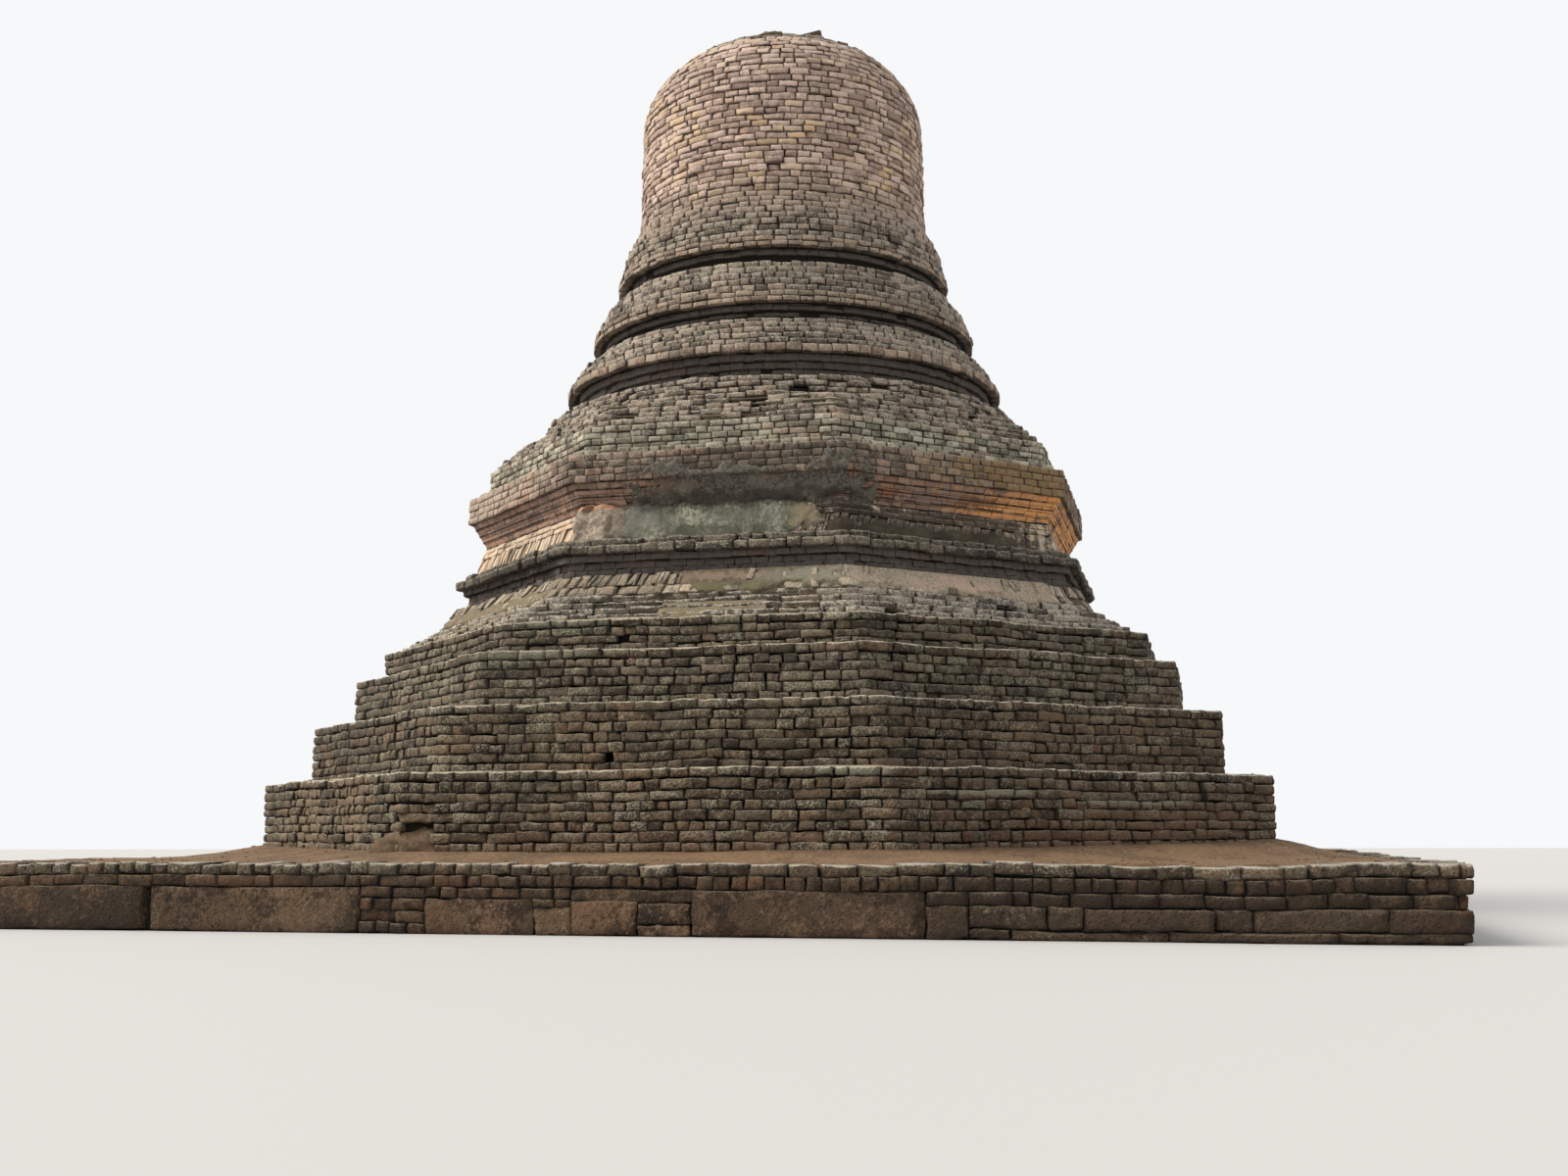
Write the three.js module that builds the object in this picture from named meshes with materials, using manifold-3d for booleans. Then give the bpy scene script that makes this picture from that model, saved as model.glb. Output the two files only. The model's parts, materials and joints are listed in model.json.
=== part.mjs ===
// A ruined bell-shaped stupa of laterite and brick. From the ground up: a low square platform, four
// eight-sided terraces, a moulded eight-sided body, receding courses that turn from eight sides to
// round, three ring mouldings and a bell whose crown is broken off.
// Millimetres, +Z up. The origin is on the ground under the centre, and the front face looks along -Y.
import * as THREE from "three";
import { mergeVertices } from "three/addons/utils/BufferGeometryUtils.js";
import Module from "manifold-3d";

// Platform: a square wall of laterite under a coping, filled with rammed earth that rises to the foot
const PLATFORM_HALF = 13000;
const WALL_THICK = 600;
const WALL_HEIGHT = 920;
const COPING_HEIGHT = 200;
const FILL_EDGE = 1100;
const FILL_TOP_HALF = 10900;
const FOOT = 1258;

// Terraces, from the lowest: radius to a corner of the octagon, height of the top, courses in the wall
const TERRACES = [
  { radius: 11600, top: 2674, courses: 8 },
  { radius: 10620, top: 3917, courses: 7 },
  { radius: 9715, top: 4967, courses: 6 },
  { radius: 9100, top: 5592, courses: 4 },
];

// Thin courses that step back above the last terrace
const SLOPE_FIRST = 8720;
const SLOPE_STEP = 275;
const SLOPE_RISE = 155;

// Heights of the moulded body
const LOTUS_BASE = 6212;
const LOTUS_TOP = 6670;
const RECESS_TOP = 6950;
const LIP_BASE = 7090;
const LIP_TOP = 7240;
const COVER_TOP = 7400;
const NECK_TOP = 8040;
const CORBEL_RISE = 140;
const CORBEL_FIRST = 6970;
const CORBEL_STEP = 88;
const FACE_BASE = NECK_TOP + 4 * CORBEL_RISE;
const FACE_TOP = 9180;
const LEDGE_TOP = 9320;
const STEP_TOP = 9850;

// Radii of the moulded body, to a corner
const LOTUS_FOOT = 7850;
const LOTUS_HEAD = 7500;
const RECESS = 7280;
const RECESS_CORBEL = 7440;
const LIP = 7590;
const COVER = 7450;
const NECK_FOOT = 7130;
const NECK_HEAD = 6920;
const FACE = 7320;
const LEDGE = 7080;
const STEP = 6860;
const WORN_EDGE = 50;

// Receding courses above the body: eight sides, then sixteen, then round
const COURSE_RISE = 150;
const OCTAGON_RADII = [6720, 6540, 6360, 6180];
const SIXTEEN_RADII = [5720, 5610];
const ROUND_RADII = [5500, 5430];
const DRUM_RISE = 137.5;

// Ring mouldings, from the lowest: root under the lip, lip, and the head of the slope above it
const RINGS = [
  { base: 11000, root: 4750, lipBase: 11600, lip: 5110, lipTop: 11780, head: 4440, top: 12500 },
  { base: 12500, root: 4200, lipBase: 12860, lip: 4520, lipTop: 13100, head: 3950, top: 13920 },
  { base: 13920, root: 3680, lipBase: 14290, lip: 3950, lipTop: 14520, head: 3500, top: 15600 },
];
const RING_NAMES = ["lower", "middle", "upper"];
const LIP_ROUND = 90;
const SLOPE_SETBACK = 60;
const SLOPE_SWELL = 60;

// Bell: a drum that is almost upright, a round shoulder and the broken crown
const BELL_FOOT = 3450;
const FLARE_HEIGHT = 800;
const FLARE_HEAD = 3400;
const BELL_WAIST = 3380;
const DRUM_TOP = 18200;
const SHOULDER_TOP = 19850;
const SHOULDER_HEAD = 2420;
const SHOULDER_CURVE = 2010;
const SHOULDER_TURNS = 6;
const CROWN_EDGE = { radius: 2000, height: 20080 };
const CROWN_TOP = 20200;
const CROWN_HEAD = 1600;

// Plaster that is left on the front and front right: how far it lies off the masonry, how far it ends
// short of the courses below and above it, thicknesses, and broken outlines from left to right as
// [across, height over the foot of the band] points
const PLASTER_GAP = 0.3;
const PANEL_THICK = 70;
const PANEL_BROKEN_EDGE = [[2200, 0], [2240, 220], [2120, 300], [2150, 410], [1950, 500], [1980, 640]];
const PANEL_LEFT_EDGE = [[-1740, 640], [-1770, 0]];
const LUMP_THICK = 150;
const LUMP_OUTLINE = [[-1950, 0], [-1810, 200], [-1780, 640], [-2480, 640], [-2560, 400], [-2640, 0]];
const STRIP_THICK = 30;
const STRIP_FOOT = 60;
const FRONT_STRIP = [[2830, STRIP_FOOT], [2780, 458], [-420, 458], [-250, 288], [-300, STRIP_FOOT]];
const RIGHT_STRIP = [[1900, STRIP_FOOT], [1700, 268], [1830, 458], [-2780, 458], [-2830, STRIP_FOOT]];

// Damage: a block missing from the second terrace, and a hollow worn into the foot of the first
const MISSING_BLOCK = { width: 290, height: 178, depth: 240, x: -840, low: 2930 };
const WORN_HOLLOW = { across: 700, high: 260, deep: 420 };

const SQUARE = 4;
const OCTAGON = 8;
const SIXTEEN = 16;
const ROUND = 40;

const laterite = { color: 0x3f342c, roughness: 0.95, metalness: 0 };
const darkLaterite = { color: 0x2b2623, roughness: 0.95, metalness: 0 };
const redBrick = { color: 0x6e4331, roughness: 0.9, metalness: 0 };
const bellBrick = { color: 0x8a6a58, roughness: 0.9, metalness: 0 };
const plaster = { color: 0x7b7a6c, roughness: 0.85, metalness: 0 };
const earth = { color: 0x6b5440, roughness: 1, metalness: 0 };

const stupa = new THREE.Group();
stupa.name = "stupa";

function add(name, geometry, finish) {
  const mesh = new THREE.Mesh(geometry, new THREE.MeshStandardMaterial(finish));
  mesh.name = name;
  stupa.add(mesh);
  return mesh;
}

// A solid with equal sides about the vertical axis. The profile runs from the bottom outline to the
// top one as [radius, height] points; a flat side faces the front.
function turned(sides, profile) {
  const [first, last] = [profile[0], profile[profile.length - 1]];
  const outline = [[0, first[1]], ...profile, [0, last[1]]];
  const points = outline.map(([radius, height]) => new THREE.Vector2(radius, height));
  const geometry = new THREE.LatheGeometry(points, sides, Math.PI / sides);
  return geometry.rotateX(Math.PI / 2);
}

function slab(sides, radius, base, top) {
  return turned(sides, [[radius, base], [radius, top]]);
}

// A stack of slabs that each step in or out from the one below, as one solid
function steps(sides, radii, base, rise) {
  const profile = radii.flatMap((radius, i) => [
    [radius, base + i * rise],
    [radius, base + (i + 1) * rise],
  ]);
  return turned(sides, profile);
}

function box(width, depth, base, top, x = 0, y = 0) {
  const geometry = new THREE.BoxGeometry(width, depth, top - base);
  return geometry.translate(x, y, (base + top) / 2);
}

// Distance from the axis to the middle of an octagon's side
function apothem(radius) {
  return radius * Math.cos(Math.PI / OCTAGON);
}

const wasm = await Module();
wasm.setup();

function solid(geometry) {
  const bare = geometry.clone();
  bare.deleteAttribute("normal");
  bare.deleteAttribute("uv");
  const merged = mergeVertices(bare, 1e-3);
  return new wasm.Manifold(
    new wasm.Mesh({
      numProp: 3,
      vertProperties: merged.attributes.position.array,
      triVerts: new Uint32Array(merged.index.array),
    }),
  );
}

function cut(body, tool) {
  const mesh = solid(body).subtract(solid(tool)).getMesh();
  const geometry = new THREE.BufferGeometry();
  geometry.setAttribute("position", new THREE.BufferAttribute(mesh.vertProperties, 3));
  geometry.setIndex(new THREE.BufferAttribute(mesh.triVerts, 1));
  return geometry;
}

function buildPlatform() {
  const full = 2 * PLATFORM_HALF;
  const between = full - 2 * WALL_THICK;
  const middle = PLATFORM_HALF - WALL_THICK / 2;
  const wallTop = WALL_HEIGHT + COPING_HEIGHT;
  for (const [side, sign] of [["front", -1], ["back", 1]]) {
    const wall = box(full, WALL_THICK, 0, WALL_HEIGHT, 0, sign * middle);
    const coping = box(full, WALL_THICK, WALL_HEIGHT, wallTop, 0, sign * middle);
    add(`platform_wall_${side}`, wall, laterite);
    add(`platform_coping_${side}`, coping, laterite);
  }
  for (const [side, sign] of [["left", -1], ["right", 1]]) {
    const wall = box(WALL_THICK, between, 0, WALL_HEIGHT, sign * middle);
    const coping = box(WALL_THICK, between, WALL_HEIGHT, wallTop, sign * middle);
    add(`platform_wall_${side}`, wall, laterite);
    add(`platform_coping_${side}`, coping, laterite);
  }
  const inner = (PLATFORM_HALF - WALL_THICK) * Math.SQRT2;
  const fill = turned(SQUARE, [[inner, 0], [inner, FILL_EDGE], [FILL_TOP_HALF * Math.SQRT2, FOOT]]);
  add("platform_fill", fill, earth);
}

// The hollow that is worn into the foot of the lowest terrace, at its front left corner
function wornHollow() {
  const { radius } = TERRACES[0];
  const angle = Math.PI / OCTAGON;
  const geometry = new THREE.IcosahedronGeometry(1, 1);
  geometry.scale(WORN_HOLLOW.across, WORN_HOLLOW.deep, WORN_HOLLOW.high);
  geometry.rotateZ(-angle);
  return geometry.translate(-radius * Math.sin(angle), -radius * Math.cos(angle), FOOT);
}

function missingBlock() {
  const { width, height, depth, x, low } = MISSING_BLOCK;
  const face = -apothem(TERRACES[1].radius);
  return box(width, 2 * depth, low, low + height, x, face);
}

function buildTerraces() {
  let base = FOOT;
  TERRACES.forEach(({ radius, top, courses }, i) => {
    const rise = (top - base) / courses;
    let wall = slab(OCTAGON, radius, base, top - rise);
    if (i === 0) wall = cut(wall, wornHollow());
    if (i === 1) wall = cut(wall, missingBlock());
    add(`terrace_${i + 1}_wall`, wall, laterite);
    add(`terrace_${i + 1}_cap`, slab(OCTAGON, radius, top - rise, top), laterite);
    base = top;
  });
  for (const [name, first] of [["slope_courses_lower", 0], ["slope_courses_upper", 2]]) {
    const radii = [first, first + 1].map((i) => SLOPE_FIRST - i * SLOPE_STEP);
    add(name, steps(OCTAGON, radii, base + first * SLOPE_RISE, SLOPE_RISE), laterite);
  }
}

function buildBody() {
  const lotus = turned(OCTAGON, [[LOTUS_FOOT, LOTUS_BASE], [LOTUS_HEAD, LOTUS_TOP]]);
  add("lower_lotus_band", lotus, laterite);
  const recess = turned(OCTAGON, [
    [RECESS, LOTUS_TOP],
    [RECESS, RECESS_TOP],
    [RECESS_CORBEL, RECESS_TOP],
    [RECESS_CORBEL, LIP_BASE],
  ]);
  add("recess_wall", recess, darkLaterite);
  const lip = turned(OCTAGON, [
    [LIP - WORN_EDGE, LIP_BASE],
    [LIP, (LIP_BASE + LIP_TOP) / 2],
    [LIP - WORN_EDGE, LIP_TOP],
  ]);
  add("moulding_lip", lip, darkLaterite);
  const cover = turned(OCTAGON, [[COVER, LIP_TOP], [COVER - WORN_EDGE, COVER_TOP]]);
  add("moulding_cover", cover, laterite);
  add("neck", turned(OCTAGON, [[NECK_FOOT, COVER_TOP], [NECK_HEAD, NECK_TOP]]), redBrick);
  const corbels = [0, 1, 2, 3].map((i) => CORBEL_FIRST + i * CORBEL_STEP);
  add("cornice_corbels", steps(OCTAGON, corbels, NECK_TOP, CORBEL_RISE), redBrick);
  add("cornice_face", slab(OCTAGON, FACE, FACE_BASE, FACE_TOP), redBrick);
  const step = [[LEDGE, FACE_TOP], [LEDGE, LEDGE_TOP], [STEP, LEDGE_TOP], [STEP, STEP_TOP]];
  add("upper_step", turned(OCTAGON, step), laterite);
}

// A slab of old plaster on an outline of [across, height over the foot] points. It lies on a masonry
// face that looks along -Y and leans from one distance off the axis at its foot to another at its head.
function plasterSlab(outline, thick, foot, head) {
  const rise = head.height - foot.height;
  const points = outline.map(([across, height]) => {
    const kept = Math.min(Math.max(height, PLASTER_GAP), rise - PLASTER_GAP);
    return new THREE.Vector2(across, kept);
  });
  const geometry = new THREE.ExtrudeGeometry(new THREE.Shape(points), { depth: thick, bevelEnabled: false });
  geometry.rotateX(Math.PI / 2);
  const lean = (foot.distance - head.distance) / rise;
  geometry.applyMatrix4(new THREE.Matrix4().makeShear(0, 0, 0, 0, 0, lean));
  return geometry.translate(0, -foot.distance - PLASTER_GAP, foot.height);
}

function buildPlaster() {
  const neckFoot = { distance: apothem(NECK_FOOT), height: COVER_TOP };
  const neckHead = { distance: apothem(NECK_HEAD), height: NECK_TOP };
  const panel = plasterSlab([...PANEL_BROKEN_EDGE, ...PANEL_LEFT_EDGE], PANEL_THICK, neckFoot, neckHead);
  add("neck_plaster_panel", panel, plaster);
  add("neck_plaster_corner", plasterSlab(LUMP_OUTLINE, LUMP_THICK, neckFoot, neckHead), plaster);

  const bandFoot = { distance: apothem(LOTUS_FOOT), height: LOTUS_BASE };
  const bandHead = { distance: apothem(LOTUS_HEAD), height: LOTUS_TOP };
  const right = plasterSlab(RIGHT_STRIP, STRIP_THICK, bandFoot, bandHead);
  add("lotus_plaster_front", plasterSlab(FRONT_STRIP, STRIP_THICK, bandFoot, bandHead), plaster);
  add("lotus_plaster_right", right, plaster).rotateZ((2 * Math.PI) / OCTAGON);
}

function buildRecedingCourses() {
  let base = STEP_TOP;
  add("octagon_courses", steps(OCTAGON, OCTAGON_RADII, base, COURSE_RISE), laterite);
  base += OCTAGON_RADII.length * COURSE_RISE;
  add("sixteen_side_courses", steps(SIXTEEN, SIXTEEN_RADII, base, DRUM_RISE), laterite);
  base += SIXTEEN_RADII.length * DRUM_RISE;
  add("round_courses", steps(ROUND, ROUND_RADII, base, DRUM_RISE), laterite);
}

// Each ring is a root that flares out under the lip, the lip itself and a swelling slope over it
function buildRings() {
  RINGS.forEach(({ base, root, lipBase, lip, lipTop, head, top }, i) => {
    const under = lip - LIP_ROUND;
    const flare = (base + lipBase) / 2;
    const undercut = turned(ROUND, [[root, base], [root, flare], [under - LIP_ROUND, lipBase]]);
    const roll = turned(ROUND, [[under, lipBase], [lip, (lipBase + lipTop) / 2], [lip, lipTop]]);
    const swell = (lip + head) / 2 + SLOPE_SWELL;
    const slope = turned(ROUND, [
      [lip - SLOPE_SETBACK, lipTop],
      [swell, (lipTop + top) / 2],
      [head, top],
    ]);
    add(`${RING_NAMES[i]}_ring_undercut`, undercut, darkLaterite);
    add(`${RING_NAMES[i]}_ring_lip`, roll, laterite);
    add(`${RING_NAMES[i]}_ring_slope`, slope, laterite);
  });
}

// The bell's shoulder as [radius, height] points: part of an ellipse, cut off where the crown begins
function shoulderProfile() {
  const last = Math.asin((SHOULDER_TOP - DRUM_TOP) / SHOULDER_CURVE);
  const narrowing = (BELL_WAIST - SHOULDER_HEAD) / (1 - Math.cos(last));
  return Array.from({ length: SHOULDER_TURNS + 1 }, (_, i) => {
    const angle = (last * i) / SHOULDER_TURNS;
    const radius = BELL_WAIST - narrowing * (1 - Math.cos(angle));
    const height = i === SHOULDER_TURNS ? SHOULDER_TOP : DRUM_TOP + SHOULDER_CURVE * Math.sin(angle);
    return [radius, height];
  });
}

function buildBell() {
  const base = RINGS[RINGS.length - 1].top;
  const drum = turned(ROUND, [[BELL_FOOT, base], [FLARE_HEAD, base + FLARE_HEIGHT], [BELL_WAIST, DRUM_TOP]]);
  const crown = turned(ROUND, [
    [SHOULDER_HEAD, SHOULDER_TOP],
    [CROWN_EDGE.radius, CROWN_EDGE.height],
    [CROWN_HEAD, CROWN_TOP],
  ]);
  add("bell_drum", drum, bellBrick);
  add("bell_shoulder", turned(ROUND, shoulderProfile()), bellBrick);
  add("bell_crown", crown, bellBrick);
}

buildPlatform();
buildTerraces();
buildBody();
buildPlaster();
buildRecedingCourses();
buildRings();
buildBell();

export default stupa;
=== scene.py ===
"""Looks of a ruined bell-shaped stupa: laterite and brick courses laid block by block around the solids.

Every course is laid flat, as if the wall were unrolled: X runs along the wall from the middle of the
front, Y stands out from the face and Z is the height. A geometry node tree then bends the courses
round the square, eight-sided or round plan and wears the blocks down.
"""

import json
import logging
import math
import random
from collections.abc import Iterator, Sequence
from dataclasses import dataclass, field, replace
from enum import Enum
from functools import cache

import bmesh
import bpy
import numpy as np
from mathutils import Matrix, Vector, noise

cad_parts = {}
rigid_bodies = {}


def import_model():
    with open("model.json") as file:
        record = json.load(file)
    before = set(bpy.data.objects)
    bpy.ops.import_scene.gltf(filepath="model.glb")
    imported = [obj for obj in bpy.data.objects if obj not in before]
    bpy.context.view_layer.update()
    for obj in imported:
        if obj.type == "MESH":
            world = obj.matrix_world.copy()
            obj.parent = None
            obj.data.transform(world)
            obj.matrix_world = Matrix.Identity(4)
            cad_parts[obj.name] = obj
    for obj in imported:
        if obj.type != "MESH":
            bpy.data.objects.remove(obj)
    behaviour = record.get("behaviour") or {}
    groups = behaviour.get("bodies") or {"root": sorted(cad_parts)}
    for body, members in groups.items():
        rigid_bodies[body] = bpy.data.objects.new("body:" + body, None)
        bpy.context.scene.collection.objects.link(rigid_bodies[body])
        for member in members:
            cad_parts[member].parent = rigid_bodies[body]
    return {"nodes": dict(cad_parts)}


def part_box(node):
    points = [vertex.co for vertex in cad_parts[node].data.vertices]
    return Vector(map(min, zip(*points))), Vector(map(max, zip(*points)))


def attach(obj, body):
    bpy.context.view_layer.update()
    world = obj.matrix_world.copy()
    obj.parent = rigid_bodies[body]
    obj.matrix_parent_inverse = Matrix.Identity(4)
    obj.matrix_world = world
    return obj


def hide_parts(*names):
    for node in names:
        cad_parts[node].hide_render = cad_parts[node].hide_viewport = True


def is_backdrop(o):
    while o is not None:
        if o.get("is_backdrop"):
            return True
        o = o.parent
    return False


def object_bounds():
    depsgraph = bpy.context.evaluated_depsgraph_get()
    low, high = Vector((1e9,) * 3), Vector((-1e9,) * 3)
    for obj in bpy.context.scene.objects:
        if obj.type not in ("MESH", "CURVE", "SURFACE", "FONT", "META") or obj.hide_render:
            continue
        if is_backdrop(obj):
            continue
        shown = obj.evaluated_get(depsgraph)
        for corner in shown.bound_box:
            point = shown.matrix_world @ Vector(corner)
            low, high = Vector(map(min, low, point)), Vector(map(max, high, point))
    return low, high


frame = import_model()
CAD_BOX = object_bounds()

BODY = "root"
LOG = logging.getLogger("stupa")
Triple = tuple[float, float, float]

# Vertices of the solids that are nearer than this, in metres, count as one.
WELD = 0.0005
# A face looks up when its normal's Z is more than this.
UPWARD = 0.7
# How far the head of the lotus band stands before the recess, and that of the neck behind the cornice.
LOTUS_HEAD = 0.05
NECK_HEAD = 0.29


class Plan(Enum):
    """Outline of a course seen from above, with its number of straight sides."""

    SQUARE = 4
    OCTAGON = 8
    SIXTEEN = 16
    ROUND = 96

    def side(self, apothem: float) -> float:
        """Length of one straight side at a distance from the axis."""
        return 2 * apothem * math.tan(math.pi / self.value)


class Slot(Enum):
    """Material slots of the record."""

    LATERITE = "laterite"
    DARK_LATERITE = "dark_laterite"
    BRICK = "brick"
    BELL_BRICK = "bell_brick"
    PLASTER = "plaster"
    EARTH = "earth"


class Wire:
    """An output socket that takes part in Python arithmetic."""

    def __init__(self, graph: "Graph", socket: bpy.types.NodeSocket) -> None:
        """Wraps one output socket of a graph."""
        self.graph = graph
        self.socket = socket

    def __add__(self, other: "Value") -> "Wire":
        """Sum."""
        return self.graph.math("ADD", self, other)

    __radd__ = __add__

    def __sub__(self, other: "Value") -> "Wire":
        """Difference."""
        return self.graph.math("SUBTRACT", self, other)

    def __rsub__(self, other: "Value") -> "Wire":
        """Difference with a number on the left."""
        return self.graph.math("SUBTRACT", other, self)

    def __mul__(self, other: "Value") -> "Wire":
        """Product."""
        return self.graph.math("MULTIPLY", self, other)

    __rmul__ = __mul__

    def __truediv__(self, other: "Value") -> "Wire":
        """Quotient."""
        return self.graph.math("DIVIDE", self, other)

    def __rtruediv__(self, other: "Value") -> "Wire":
        """Quotient with a number on the left."""
        return self.graph.math("DIVIDE", other, self)


Value = Wire | float | Triple


class Graph:
    """Adds and links the nodes of one shader or geometry tree."""

    def __init__(self, tree: bpy.types.NodeTree) -> None:
        """Starts on an emptied tree."""
        self.tree = tree
        tree.nodes.clear()

    def add(
        self,
        kind: str,
        settings: dict[str, object] | None = None,
        inputs: dict[str | int, object] | None = None,
        output: str | int = 0,
    ) -> Wire | None:
        """Adds a node.

        Args:
            kind: The node's type.
            settings: Properties of the node, set before its sockets.
            inputs: Values or wires by socket name or number.
            output: The output socket to hand back.

        Returns:
            That output socket as a wire, or None where the node has no output.
        """
        node = self.tree.nodes.new(kind)
        for name, value in (settings or {}).items():
            setattr(node, name, value)
        for name, value in (inputs or {}).items():
            self._feed(node.inputs[name], value)
        return Wire(self, node.outputs[output]) if len(node.outputs) else None

    def _feed(self, socket: bpy.types.NodeSocket, value: object) -> None:
        """Links a wire to a socket, or sets the socket's own value."""
        if isinstance(value, Wire):
            self.tree.links.new(value.socket, socket)
        elif isinstance(value, tuple) and socket.type == "RGBA":
            socket.default_value = (*value, 1.0)
        else:
            socket.default_value = value

    def attribute(self, name: str, output: str = "Fac") -> Wire:
        """An attribute of the mesh."""
        return self.add("ShaderNodeAttribute", {"attribute_name": name}, output=output)

    def math(self, operation: str, *values: Value) -> Wire:
        """A Math node's result."""
        return self.add("ShaderNodeMath", {"operation": operation}, dict(enumerate(values)))

    def vector(self, operation: str, *values: Value, output: str = "Vector") -> Wire:
        """A Vector Math node's result."""
        return self.add("ShaderNodeVectorMath", {"operation": operation}, dict(enumerate(values)), output)

    def scaled(self, vector: Wire, factor: Value) -> Wire:
        """A vector times a number."""
        return self.add("ShaderNodeVectorMath", {"operation": "SCALE"}, {0: vector, "Scale": factor})

    def axis(self, vector: Wire, name: str) -> Wire:
        """One component of a vector, X, Y or Z."""
        return self.add("ShaderNodeSeparateXYZ", {}, {0: vector}, name)

    def joined(self, x: Value, y: Value, z: Value) -> Wire:
        """A vector from three numbers."""
        return self.add("ShaderNodeCombineXYZ", {}, {0: x, 1: y, 2: z})

    def mix(self, factor: Value, first: object, second: object) -> Wire:
        """Mixes two colours."""
        return self.add("ShaderNodeMix", {"data_type": "RGBA"}, {0: factor, 6: first, 7: second}, 2)

    def step(self, value: Wire, low: float, high: float) -> Wire:
        """Goes smoothly from 0 at low to 1 at high."""
        inputs = {0: value, 1: low, 2: high, 3: 0.0, 4: 1.0}
        return self.add("ShaderNodeMapRange", {"interpolation_type": "SMOOTHSTEP"}, inputs)

    def noise(self, place: Wire, scale: float, detail: float = 3, rough: float = 0.55) -> Wire:
        """Cloud noise from 0 to 1."""
        inputs = {"Vector": place, "Scale": scale, "Detail": detail, "Roughness": rough}
        return self.add("ShaderNodeTexNoise", {}, inputs)

    def drift(self, place: Wire, scale: float, amount: Value, detail: float = 1) -> Wire:
        """A smooth random shift of up to about amount each way."""
        inputs = {"Vector": place, "Scale": scale, "Detail": detail}
        colour = self.add("ShaderNodeTexNoise", {}, inputs, 1)
        return self.scaled(self.vector("SUBTRACT", colour, (0.5, 0.5, 0.5)), 2 * amount)

    def bump(self, height: Wire, strength: float, distance: float) -> Wire:
        """A normal that is bumped by a height."""
        inputs = {"Strength": strength, "Distance": distance, "Height": height}
        return self.add("ShaderNodeBump", {}, inputs)

    def blot(self, place: Wire, stain: "TonePatch", ragged: Wire) -> Wire:
        """How strongly a patch of another tone covers a place, with a ragged and patchy edge."""
        offset = self.vector("DIVIDE", self.vector("SUBTRACT", place, stain.middle), stain.reach)
        distance = self.vector("LENGTH", offset, output="Value")
        clouds = self.noise(place, 2.6, 4, 0.65) - 0.5 + (ragged - 0.5) * 0.5
        return self.step(distance + clouds * 3.2, 1.15, 0.55) * stain.strength


@dataclass(frozen=True)
class TonePatch:
    """A place of another tone: its middle, how far it reaches each way, its tone and how strong it is. Most
    are stained places; some are painted shade and some painted light.
    """

    middle: Triple
    reach: Triple
    tone: Triple = (0.02, 0.018, 0.015)
    strength: float = 0.9


@dataclass(frozen=True)
class Finish:
    """A finish: its name, the record's slot and a material that is built once."""

    name: str
    slot: Slot

    def material(self) -> bpy.types.Material:
        """Hands the material back, and builds it the first time."""
        found = bpy.data.materials.get(self.name)
        if found:
            return found
        material = bpy.data.materials.new(self.name)
        material.use_nodes = True
        graph = Graph(material.node_tree)
        place = graph.add("ShaderNodeTexCoord", output="Object")
        shader = graph.add("ShaderNodeBsdfPrincipled", {}, self._surface(graph, place))
        graph.add("ShaderNodeOutputMaterial", {}, {"Surface": shader})
        return material

    def _surface(self, graph: Graph, place: Wire) -> dict[str, object]:
        """The inputs of the material's shader."""
        raise NotImplementedError


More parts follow.
